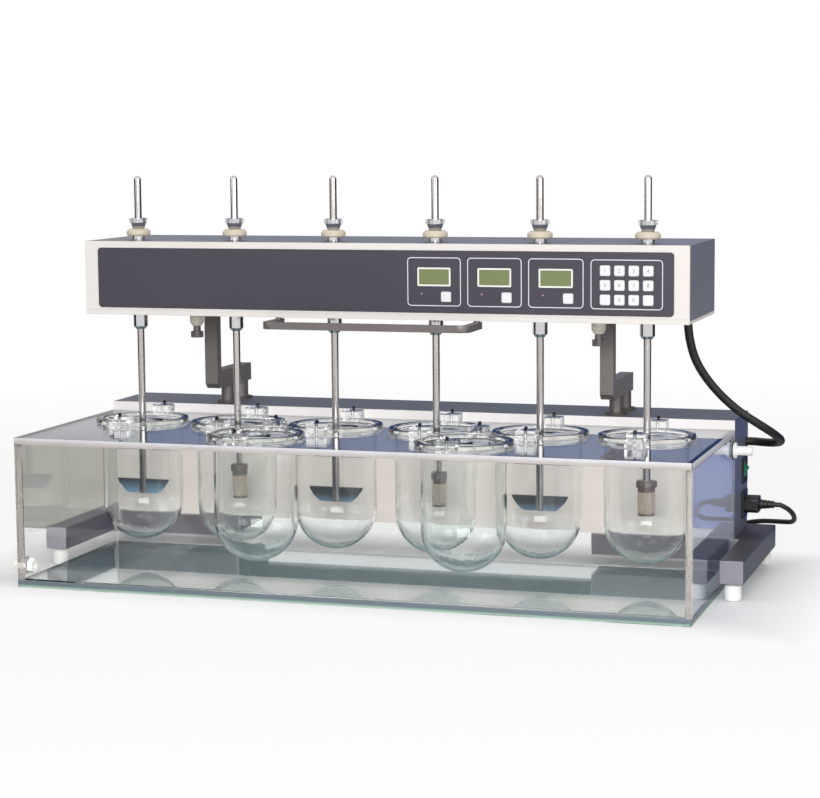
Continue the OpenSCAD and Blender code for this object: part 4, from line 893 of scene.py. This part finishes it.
deep = put(tree, "ShaderNodeMath", {0: deep, 1: shadow_y}, operation="SUBTRACT")
clear_of = put(tree, "ShaderNodeMath", {0: wide, 1: deep}, operation="MAXIMUM")
pale = put(tree, "ShaderNodeMapRange", {"Value": clear_of, "From Min": -0.03, "From Max": 0.08, "To Min": 0.1,
           "To Max": 0.84})
lift = put(tree, "ShaderNodeMath", {0: seen, 1: pale}, operation="MULTIPLY")
matt = put(tree, "ShaderNodeBsdfDiffuse", {"Color": linear("#F2F2F2")})
white = put(tree, "ShaderNodeEmission", {"Color": linear("#FFFFFF")})
paper = put(tree, "ShaderNodeMixShader", {0: lift, 1: matt, 2: white})
open_air = put(tree, "ShaderNodeBsdfTransparent")
both = put(tree, "ShaderNodeMixShader", {0: fade, 1: paper, 2: open_air})
put(tree, "ShaderNodeOutputMaterial", {"Surface": both})
deselect()
bpy.ops.mesh.primitive_circle_add(vertices=64, radius=floor_r, fill_type="NGON", location=(0, 0, floor_z))
floor = bpy.context.object
floor.name = "studio_floor"
bpy.ops.object.transform_apply(location=True)
wear(floor, floor_paint)
print("studio floor")

# %% [markdown]
# The world is white for the camera and for what shows in metal and glass. As a light it is weaker, so that the
# lamps can shape the machine.

# %% White room
world = bpy.data.worlds.new("white room")
bpy.context.scene.world = world
world.use_nodes = True
tree = world.node_tree
tree.nodes.clear()
rays = put(tree, "ShaderNodeLightPath")
seen = put(tree, "ShaderNodeMath", {0: rays.outputs["Is Camera Ray"], 1: rays.outputs["Is Transmission Ray"]},
           operation="MAXIMUM")
seen = put(tree, "ShaderNodeMath", {0: seen, 1: rays.outputs["Is Glossy Ray"]}, operation="MAXIMUM")
glow = put(tree, "ShaderNodeMapRange", {"Value": seen, "To Min": 0.4, "To Max": 1.0})
sky = put(tree, "ShaderNodeBackground", {"Color": linear("#FFFFFF"), "Strength": glow})
put(tree, "ShaderNodeOutputWorld", {"Surface": sky})
print("world", world.name)

# %% [markdown]
# Chrome and clear sheet need something dark to draw their edges, so cards stand round the machine that show in
# reflections only: navy and beige ones behind it, which the lid mirrors, dark flags beside it, a blue one near
# its right end and mats on the floor. The mats show through clear walls too, because their reflection in one
# wall of the bath is often seen through another.

# %% Cards for reflections
def card(name, colour, size, spot, aim, through=False):
    finish, tree = new_finish(name)[:2]
    glow = put(tree, "ShaderNodeEmission", {"Color": linear(colour)})
    put(tree, "ShaderNodeOutputMaterial", {"Surface": glow})
    deselect()
    bpy.ops.mesh.primitive_plane_add(size=1, location=spot)
    piece = bpy.context.object
    piece.name = name.replace(" ", "_")
    piece.scale = (*size, 1)
    piece.rotation_euler = (Vector(aim) - Vector(spot)).to_track_quat("Z", "Y").to_euler()
    wear(piece, finish)
    piece.visible_camera = piece.visible_diffuse = piece.visible_shadow = False
    piece.visible_transmission = through


card("navy backdrop card", "#42588C", (5.04, 1.3), (0.98, 2.6, 0.62), (0.98, 0, 0.62))
card("dark low backdrop", "#1E1E22", (4.4, 0.44), (0.2, 2.5, 0.24), (0.2, 0, 0.24))
card("beige backdrop card", "#C4C3BF", (2.1, 1.3), (-2.59, 2.6, 0.62), (-2.59, 0, 0.62))
card("left flag", "#2A2C33", (2.1, 1.3), (-2.2, -0.3, 0.65), (0, 0, 0.65))
card("right flag", "#2A2C33", (1.9, 1.3), (1.95, 1.0, 0.65), (0, 0, 0.65))
card("blue card", "#3A58A0", (0.36, 0.2), (0.62, 0.45, 0.1), (0.62, 0, 0.1))
card("beige mat", "#A8A9A1", (0.86, 0.9), (-0.87, 0.65, 0.0005), (-0.87, 0.65, 1), through=True)
card("dark mat front", "#505257", (1.8, 1.5), (-0.45, -1.05, 0.0005), (-0.45, -1.05, 1), through=True)
card("dark mat left", "#2E3038", (1.0, 0.8), (-1.1, -0.3, 0.0005), (-1.1, -0.3, 1), through=True)
card("dark mat right", "#2E3038", (0.9, 1.0), (1.15, 0.4, 0.0005), (1.15, 0.4, 1), through=True)
print("cards ready")

# %% [markdown]
# Four soft lamps light the machine, the strongest from the camera's side. Their level is plain: a colour
# renders about as it is written.

# %% Lamps
def lamp(name, spot, aim, size, power):
    deselect()
    bpy.ops.object.light_add(type="AREA", location=spot)
    light = bpy.context.object
    light.name = name
    light.data.shape = "RECTANGLE"
    light.data.size, light.data.size_y = size
    light.data.energy = power
    light.rotation_euler = (Vector(aim) - Vector(spot)).to_track_quat("-Z", "Y").to_euler()


lamp("softbox_front", (0.9, -2.7, 1.1), (0, 0, 0.2), (1.8, 1.3), 50)
lamp("softbox_left", (-2.0, -1.6, 1.3), (0, 0, 0.25), (1.2, 1.2), 10)
lamp("softbox_right", (2.4, -1.2, 0.9), (0.4, 0, 0.3), (1.0, 1.0), 11)
lamp("softbox_top", (0.2, -0.3, 2.4), (0, 0, 0.2), (2.4, 1.4), 4.5)
print("studio ready")
